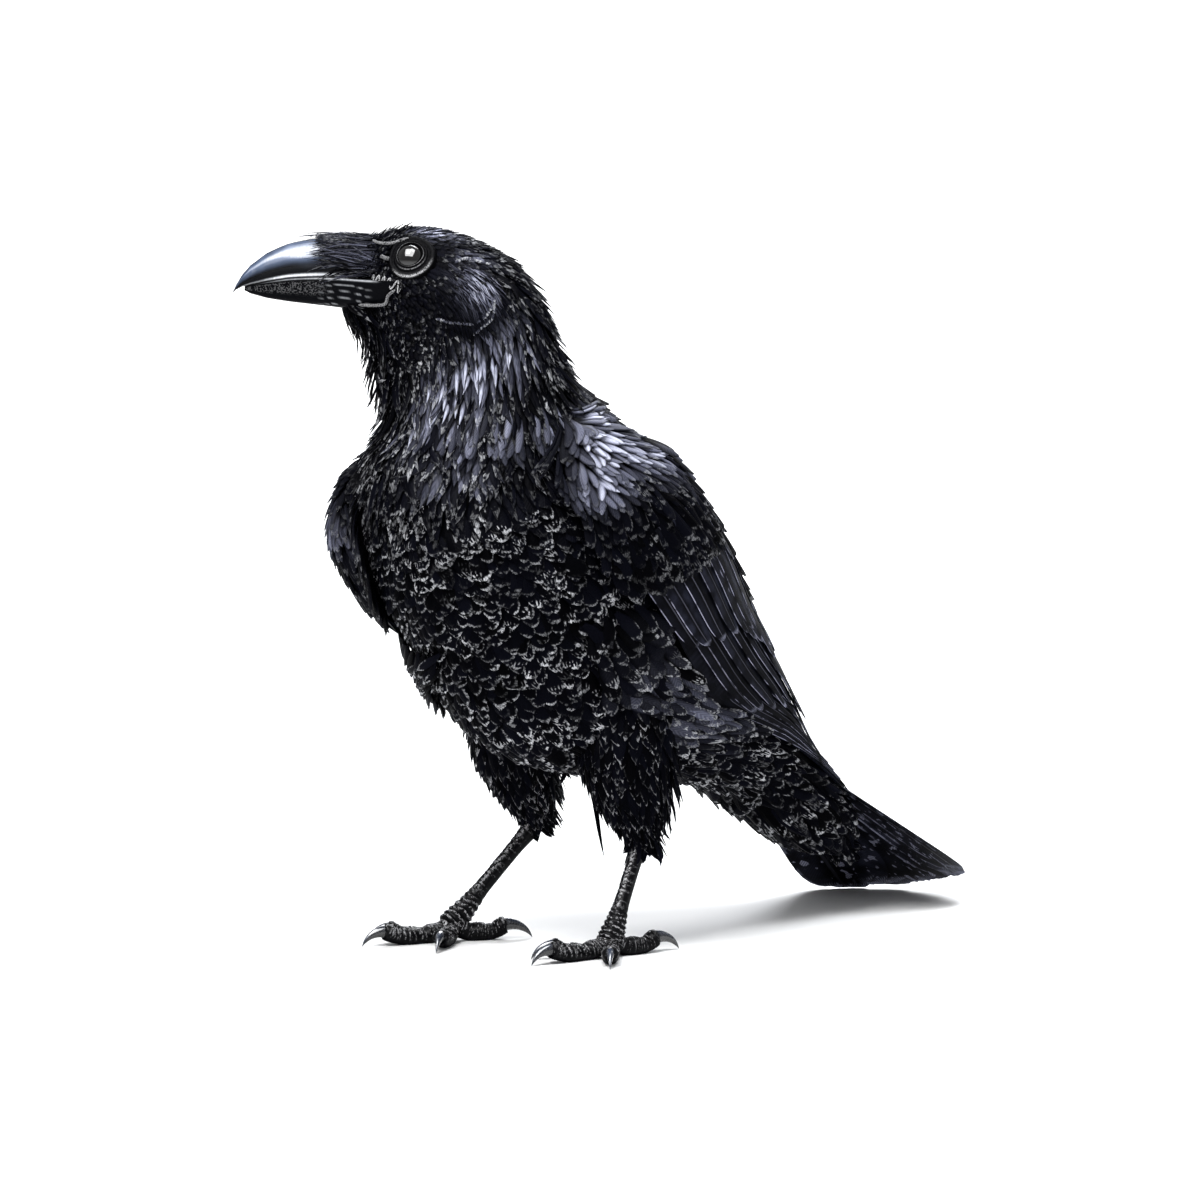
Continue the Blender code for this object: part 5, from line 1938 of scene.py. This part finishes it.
    def bristles(self) -> Shape:
        """Stiff bristles that lie forward over the base of the bill."""
        sizes = sized((0.0, 20, 14, 240, 12, 6, 4, 0.4), (0.3, 22, 13, 240, 12, 8, 6, 0.9),
                      (0.6, 24, 13, 160, 10, 8, 5, 0.9))
        tract = Tract(Snout(self.trunk), Cut.BRISTLE, (0.02, 0.52), (-0.88, 0.88), sizes, 41,
                      self.bristle_gloss, unruly=9.0, loose=0.0012, folded=False, stray=0.12, gaps=3.0)
        return tract.grown()

    def beard(self) -> Shape:
        """Loose pointed hackles on the throat, whose tips stand out."""
        sizes = sized((1.0, 44, 36, 140, 24, 20, 46, 0.5), (3.0, 56, 44, 190, 32, 26, 62, 0.5),
                      (5.0, 70, 58, 210, 40, 36, 36, 0.6), (7.6, 80, 80, 220, 52, 50, 26, 0.7))
        tract = Tract(self.trunk, Cut.HACKLE, (0.35, 7.6), (-150.0, -30.0), sizes, 51, self.gloss, self.lean,
                      unruly=11.0, loose=0.003, stray=0.1)
        return tract.grown()

    def nape(self) -> Shape:
        """Longer hackles down the back of the neck, whose tips stand out, and a tuft over the bill."""
        sizes = sized((4.6, 52, 48, 150, 38, 30, 18, 0.5), (6.5, 62, 60, 210, 50, 40, 34, 0.5),
                      (8.2, 80, 80, 220, 60, 50, 22, 0.5))
        tuft_sizes = sized((0.7, 34, 26, 80, 17, 16, 24, 0.5), (2.3, 40, 30, 90, 20, 16, 14, 0.5))
        hackles = Tract(self.trunk, Cut.HACKLE, (4.6, 8.2), (48.0, 132.0), sizes, 45, self.gloss, self.lean,
                        unruly=8.0, loose=0.0016)
        tuft = Tract(self.trunk, Cut.HACKLE, (0.7, 2.3), (60.0, 120.0), tuft_sizes, 43, unruly=15.0,
                     loose=0.0016)
        return Shape.joined([hackles.grown(), tuft.grown(seed=46)])

    def strands(self) -> Shape:
        """A few loose strands that hang between the legs."""
        across, heading, length, width, bend = np.array(self.strand_rows).T
        zero = np.zeros(len(across))
        lay = np.tile([self.strand_lay], (len(across), 1))
        roots = Roots(zero, across, heading, length, width, zero, zero, bend, zero, lay)
        return grow(Curtain(self.trunk.offset), roots, Cut.HACKLE, 48)

    def breeches(self, thigh: Thigh, seed: int) -> Shape:
        """The feathers of one thigh, with a ragged hem over the hock.

        Args:
            thigh: The thigh's form.
            seed: For their variation.

        Returns:
            The joined shape.
        """
        sizes = sized((0.0, 50, 62, 200, 92, 50, 6, 0.8), (0.6, 46, 54, 180, 78, 40, 14, 0.8),
                      (1.0, 40, 42, 120, 56, 30, 8, 0.7))
        hem_sizes = sized((0.3, 90, 90, 240, 52, 40, 50, 0.6), (0.7, 70, 68, 220, 44, 34, 66, 0.6),
                          (1.0, 60, 50, 160, 34, 24, 40, 0.5))
        tract = Tract(thigh, Cut.HACKLE, (-0.05, 1.02), CIRCLE, sizes, seed, unruly=9.0, loose=0.0016)
        hem = Tract(thigh, Cut.HACKLE, (0.35, 0.97), (-165.0, -15.0), hem_sizes, seed + 2, unruly=11.0,
                    loose=0.004)
        return Shape.joined([tract.grown(), hem.grown()])

    def make(self) -> None:
        """Makes every piece of the coat."""
        fine = PlumageFinish("plumage_fine", barbs=5.0, slant=1.2, rim=0.74).build()
        plain = PlumageFinish("plumage").build()
        face = self.band(Cut.SMALL, (0.1, 4.25), self.face_sizes, 11, unruly=5.0, loose=0.0002, sparse=3.2)
        neck = self.band(Cut.HACKLE, (4.2, 8.3), self.neck_sizes, 13, unruly=7.0, sparse=1.8, gaps=2.0)
        breast = self.band(Cut.CONTOUR, (8.25, 12.0), self.body_sizes, 15, unruly=11.0, loose=0.001)
        belly = self.band(Cut.CONTOUR, (12.0, 18.3), self.body_sizes, 17, unruly=13.0, loose=0.0016)
        pieces = {
            "coat_face": (face, fine),
            "coat_neck": (neck, fine),
            "coat_breast": (breast, plain),
            "coat_belly": (belly, plain),
            "coat_collar": (self.collar(), plain),
            "ear_rims": (self.rims(), fine),
            "ear_coverts": (self.ears(), fine),
            "bill_bristles": (self.bristles(), fine),
            "throat_hackles": (self.beard(), fine),
            "nape_hackles": (self.nape(), fine),
            "loose_strands": (self.strands(), plain),
        }
        for thigh, seed in zip(self.thighs, (61, 71)):
            pieces[f"breeches_{thigh.leg.name}"] = (self.breeches(thigh, seed), plain)
        for name, (shape, finish) in pieces.items():
            declare(shape.build(name, finish), "plumage")


@dataclass
class Wings:
    """Both folded wings: scales on the shoulder, coverts, and long blades that overlap upwards."""

    trunk: Trunk
    wings: tuple[FoldedWing, FoldedWing]
    lesser_sizes = sized((7.5, 56, 24, 160, 31, 40, 4, 0.15), (9.0, 76, 32, 210, 44, 44, 6, 0.35),
                         (10.4, 70, 74, 240, 100, 24, 22, 0.4))
    median_sizes = sized((9.7, 85, 72, 230, 92, 10, 26, 0.4), (10.4, 90, 74, 250, 95, 6, 26, 0.4))
    scapular_sizes = sized((8.8, 80, 86, 250, 110, 10, 34, 0.25), (12.2, 100, 96, 380, 140, 0, 46, 0.35))
    flank_sizes = sized((10.8, 66, 70, 190, 90, 34, 16, 0.9), (12.4, 68, 70, 230, 94, 34, 30, 0.8),
                        (14.6, 70, 74, 240, 90, 34, 26, 0.9))
    flank_gloss = ((12.7, -0.12, 0.9, 0.25, 0.32),)
    flank_lean = ((0.0, -9.0), (1.0, -9.0))
    far_sheen = 0.4  # the right shoulder, the far one, gets a weaker painted highlight
    upper_gloss = (9.0, 0.85, 0.5, 0.14, 0.3)
    lining_span, lining_edges = (10.6, 17.3), (0.06, 0.94)
    lining_depths = (-0.002, -0.003)
    # roots and tips, each as station and share across of the lowest and of the highest blade; number of them,
    # width, height of the lowest over the form, seed after the wing's own, how much painted navy sheen they
    # get
    primaries = ((((12.4, 0.1), (12.8, 0.55)), ((17.45, 0.3), (15.8, 0.62)), 9, 0.012, -0.0014, 5, 0.5),)
    secondaries = (
        (((10.4, 0.04), (10.8, 0.6)), ((13.9, 0.12), (15.2, 0.6)), 8, 0.0135, -0.0004, 6, 0.5),
        (((9.8, 0.04), (9.9, 0.5)), ((11.9, 0.12), (12.3, 0.52)), 6, 0.013, 0.0006, 8, 0.5),
        (((9.9, 0.48), (10.1, 0.94)), ((12.5, 0.52), (13.7, 0.82)), 6, 0.019, 0.0008, 9, 1.0),
        (((9.6, 0.62), (12.9, 0.6)), ((11.2, 0.68), (15.4, 0.52)), 3, 0.017, 0.0012, 10, 0.4),
    )
    layer = 0.0001  # how much higher each blade lies than the one below it

    def coverts(self, wing: FoldedWing, seed: int) -> Shape:
        """The lesser, median and greater coverts of one wing.

        Args:
            wing: The wing's form.
            seed: For their variation.

        Returns:
            The joined shape.
        """
        # painted highlight in a fan on the shoulder, stronger on the near wing
        near = 1.0 if wing.side > 0 else self.far_sheen
        gloss = ((8.22, 0.42, 0.24, 0.16, 1.4 * near), (8.78, 0.56, 0.28, 0.12, 0.85 * near),
                 (8.6, 0.15, 0.24, 0.12, 0.9 * near), (7.9, 0.75, 0.28, 0.3, 0.8 * near**2),
                 self.upper_gloss)
        tracts = (
            Tract(wing, Cut.CONTOUR, (wing.bend - 0.1, 10.2), (-0.06, 1.04), self.lesser_sizes, seed, gloss,
                  unruly=6.0, folded=False, splay=34.0, gaps=0.5),
            Tract(wing, Cut.CONTOUR, (9.75, 10.3), (-0.04, 0.9), self.median_sizes, seed + 1, unruly=5.0,
                  stray=0.0, folded=False),
            Tract(wing, Cut.CONTOUR, (8.9, 11.6), (0.72, 1.16), self.scapular_sizes, seed + 7,
                  (self.upper_gloss,), unruly=4.0, stray=0.0, folded=False),
            Tract(wing, Cut.CONTOUR, (10.8, 14.2), (-0.4, -0.01), self.flank_sizes, seed + 9,
                  self.flank_gloss, self.flank_lean, unruly=12.0, folded=False),
        )
        return Shape.joined([each.grown(seed=each.seed + 2) for each in tracts])

    def blades(self, wing: FoldedWing, roots: Any, tips: Any, count: int, width: float, base: float,
               seed: int, shine: float) -> Shape:
        """A stack of flight feathers side by side across the wing, each straight and over the one below it.

        Args:
            wing: The wing's form.
            roots: Station and share across of the lowest and of the highest root.
            tips: The same for the tips.
            count: How many blades there are.
            width: Their width in metres.
            base: Height of the lowest blade over the form.
            seed: For their variation.
            shine: Scales their painted navy sheen.

        Returns:
            The stack's shape.
        """
        rng = np.random.default_rng(seed)
        order = np.linspace(0.0, 1.0, count)
        (u, v), (end_u, end_v) = (smooth(ends, order).T for ends in (roots, tips))
        end_u = end_u + rng.normal(0.0, 0.03, count)
        start, end = wing.points(u, v), wing.points(end_u, end_v)
        tries = np.linspace(-0.3, 0.3, 61)[:, None]
        middle = (start + end) / 2 - wing.points((u + end_u) / 2, (v + end_v) / 2 + tries)
        along = (end - start) / np.linalg.norm(end - start, axis=-1, keepdims=True)
        off = np.linalg.norm(middle - (middle * along).sum(-1, keepdims=True) * along, axis=-1)
        bow = tries[off.argmin(axis=0), 0]
        run, drift = wing.scale(u, v)
        length = (end_u - u) * run
        sideways = np.degrees((end_v - v) * drift / length)
        sag = np.degrees(4.0 * bow * drift / length)
        lift = base + self.layer * np.arange(count)
        lay = np.clip(rng.uniform((0.3, 0.4 * shine, 0.5), (1.0, shine, 1.2), (count, 3)), 0.0, 1.5)
        full = Roots(u, v, sideways + sag, length, np.full(count, width), 0.0012 - lift, lift, -sag,
                     np.full(count, 0.1), lay)
        return grow(wing, full, Cut.FLIGHT, seed)

    def lining(self, wing: FoldedWing) -> Shape:
        """The thin sheet of inner vanes under the blades, so that no light shows between them.

        Args:
            wing: The wing's form.

        Returns:
            The sheet, with the same attributes and maps as feathers.
        """
        first, last = self.lining_span
        u, v = np.linspace(first, last, 70)[:, None], np.linspace(*self.lining_edges, 16)[None, :]
        both = np.concatenate([v, v[:, ::-1]], axis=1)
        sheet = [wing.points(u, side, depth) for side, depth in zip((v, v[:, ::-1]), self.lining_depths)]
        lay = lay_of(0.5 + 0 * u * both, 0.3, 0.0)
        shape = Shape.tube(np.concatenate(sheet, axis=1), lay, flip=wing.side < 0)
        flat = (np.stack(np.broadcast_arrays(both, (u - first) / (last - first)), axis=-1),
                wing.unwrap(*np.broadcast_arrays(u, both)))
        shape.maps = {name: places.reshape(-1, 2) for name, places in zip(("Vane", "OFBake"), flat)}
        return shape

    def stacks(self, wing: FoldedWing, rows: Any, seed: int) -> list[Shape]:
        """The stacks of blades that a table holds."""
        return [self.blades(wing, *row[:5], seed + row[5], row[6]) for row in rows]

    def make(self) -> None:
        """Makes both wings."""
        plain = PlumageFinish("wing_coverts", rim=0.84).build()
        flight = FlightFinish("flight_feathers", shaft=0.16).build()
        for wing, name, seed in zip(self.wings, ("left", "right"), (101, 201)):
            primaries = Shape.joined([*self.stacks(wing, self.primaries, seed), self.lining(wing)])
            secondaries = Shape.joined(self.stacks(wing, self.secondaries, seed))
            coverts = self.coverts(wing, seed).build(f"coverts_{name}", plain)
            declare(coverts, "plumage", f"wing_{name}_shoulder")
            for tier, shape in (("primaries", primaries), ("secondaries", secondaries)):
                declare(shape.build(f"{tier}_{name}", flight), "flight_feather", f"wing_{name}_{tier}")


@dataclass
class Mantle:
    """The cape of back feathers between the wings."""

    cape: Cape
    # an area of painted sheen
    gloss = ((8.3, 48.0, 0.5, 14.0, 0.8),)

    def make(self) -> None:
        """Makes the cape."""
        sizes = sized((7.6, 50, 60, 190, 88, 50, 6, 0.3), (10.0, 70, 86, 280, 130, 70, 12, 0.25),
                      (13.4, 80, 90, 340, 130, 70, 10, 0.25))
        tract = Tract(self.cape, Cut.CONTOUR, (7.5, 13.4), (40.0, 140.0), sizes, 301, self.gloss, unruly=5.0,
                      gaps=0.7)
        finish = PlumageFinish("mantle_plumage", rim=0.86).build()
        declare(tract.grown().build("coat_mantle", finish), "plumage")


@dataclass
class Tail:
    """Twelve tail feathers in a fan, the middle pair on top."""

    fan: Fan
    count = 12
    wedge = 0.11
    width = 0.0155
    start = 0.02  # distance of the blades' roots from the fan's root
    seed = 401

    def make(self) -> None:
        """Makes the fan: each blade's reach is the tail's length x (1 - wedge |v|^1.7)."""
        rng = np.random.default_rng(self.seed)
        v = (np.arange(self.count) + 0.5) / self.count * 2.0 - 1.0
        reach = self.fan.length * (1.0 - self.wedge * np.abs(v) ** 1.7)
        lift = 0.0016 * (1.0 - np.abs(v)) - 0.0006
        lay = rng.uniform((0.1, 0.2, 0.2), (0.8, 0.7, 0.6), (self.count, 3))
        same = np.ones(self.count)
        roots = Roots(self.start * same, v * 0.96, 0.0 * same, reach - self.start, self.width * same, -lift,
                      lift, rng.normal(0.0, 0.5, self.count), -0.07 * np.sign(v), lay)
        # pale dashes over the tail are painted glints
        finish = FlightFinish("tail_vanes", fleck=0.5).build()
        shape = grow(self.fan, roots, Cut.FLIGHT, self.seed + 1)
        declare(shape.build("tail_feathers", finish), "flight_feather", "tail")


@dataclass
class Studio:
    """A pale floor, soft lights and the camera."""

    offset: Array
    azimuth = 50.8
    elevation = 8.5
    distance = 14.0
    view_width = 0.6506
    sensor = 36.0
    aim = (0.0385, 0.1885)  # to the right of and above the point between the feet
    # azimuth, elevation, distance, side in metres, power in watts, tint
    lights = {
        "reflection": (36.0, 60.0, 1.9, 2.4, 250.0, (1.0, 1.0, 1.0)),
        "key": (20.0, 58.0, 2.2, 1.0, 52.0, (1.0, 1.0, 1.0)),
        "top": (120.0, 78.0, 2.0, 0.8, 26.0, (0.93, 0.96, 1.0)),
        "rim": (225.0, 35.0, 2.4, 0.9, 34.0, (0.9, 0.94, 1.0)),
    }
    light_height = 0.2  # of the point that they look at
    floor_light_place, floor_light_size, floor_light_power = (-2.4, 3.6, 2.6), 4.0, 300.0
    floor_rings = ((0.01, -0.02), (9.0, -0.02), (9.0, 0.0), (0.01, 0.0))  # radius and height
    sky, sky_strength = (0.96, 0.97, 1.0, 1.0), 0.45

    def directions(self, azimuth: float, elevation: float) -> tuple[Array, Array, Array]:
        """The way back to a place seen at these angles, and the right and upper sides of its view.

        Args:
            azimuth: Degrees round from the front.
            elevation: Degrees over the level.

        Returns:
            Three unit vectors.
        """
        a, e = np.radians(azimuth), np.radians(elevation)
        back = np.array([np.sin(a) * np.cos(e), -np.cos(a) * np.cos(e), np.sin(e)])
        right = np.array([np.cos(a), np.sin(a), 0.0])
        return back, right, np.cross(back, right)

    def camera(self) -> None:
        """Sets the camera's viewing angle and framing."""
        back, right, upper = self.directions(self.azimuth, self.elevation)
        aim = right * self.aim[0] + upper * self.aim[1] + self.offset
        made = put("camera", bpy.data.cameras.new("camera"))
        made.data.sensor_width = self.sensor
        made.data.lens = self.sensor * self.distance / self.view_width
        made.data.clip_start, made.data.clip_end = 0.1, 60.0
        made.location = Vector(aim + back * self.distance)
        made.rotation_euler = Vector(-back).to_track_quat("-Z", "Y").to_euler()
        bpy.context.scene.camera = made

    def lamp(self, name: str, size: float, power: float, place: Any) -> Object:
        """Hangs a soft square light that looks straight down.

        Args:
            name: Its name.
            size: Its side.
            power: In watts.
            place: Where it hangs.

        Returns:
            The light.
        """
        made = put(name, bpy.data.lights.new(name, "AREA"))
        made.data.size, made.data.energy, made.location = size, power, Vector(place)
        return made

    def hang(self) -> None:
        """Hangs the lights. One looks down behind the bird, and one lights only what is glossy."""
        self.lamp("floor_light", self.floor_light_size, self.floor_light_power, self.floor_light_place)
        for name, (azimuth, elevation, distance, size, power, tint) in self.lights.items():
            back, _, _ = self.directions(azimuth, elevation)
            made = self.lamp(name, size, power, back * distance + self.light_height * UP)
            made.data.color = tint
            made.rotation_euler = Vector(-back).to_track_quat("-Z", "Y").to_euler()
        bpy.data.objects["reflection"].visible_diffuse = False

    def floor(self) -> None:
        """Lays a plain pale floor, a flat disc of rings."""
        turn = np.radians(np.linspace(0.0, 360.0, 64, endpoint=False))
        rings = [np.stack([r * np.cos(turn), r * np.sin(turn), np.full(turn.shape, z)], axis=-1)
                 for r, z in self.floor_rings]
        floor = Shape.tube(np.stack(rings)).build("floor", FloorFinish("floor_paint").build())

    def make(self) -> None:
        """Builds the studio."""
        self.camera()
        self.floor()
        self.hang()
        world = bpy.data.worlds.new("studio")
        world.use_nodes = True
        background = world.node_tree.nodes["Background"].inputs
        background["Color"].default_value, background["Strength"].default_value = self.sky, self.sky_strength
        bpy.context.scene.world = world
        bpy.context.scene.view_settings.view_transform = "Standard"


def main() -> None:
    """Builds the studio and the bird's parts in order."""
    logging.basicConfig(level=logging.INFO, format="%(message)s")
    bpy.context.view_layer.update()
    trunk = Trunk()
    wings = (FoldedWing(trunk, 1), FoldedWing(trunk, -1))
    thighs = (Thigh(LEFT_LEG, trunk.offset), Thigh(RIGHT_LEG, trunk.offset))
    Studio(trunk.offset).make()
    Skin(trunk, wings, thighs).make()
    eyes = EyeBall(trunk)
    eyes.make()
    Bill(trunk).make()
    Folds(trunk).make()
    scaled = ScaledSkinFinish("scaled_skin").build()
    horn = HornFinish("claw_horn", shine=0.4, polish=0.8).build()
    for leg in (LEFT_LEG, RIGHT_LEG):
        leg.make(trunk.offset, scaled, horn)
    Coat(trunk, wings, thighs, eyes).make()
    Wings(trunk, wings).make()
    Mantle(Cape(trunk)).make()
    Tail(Fan(trunk.offset)).make()


if __name__ == "__main__":
    main()
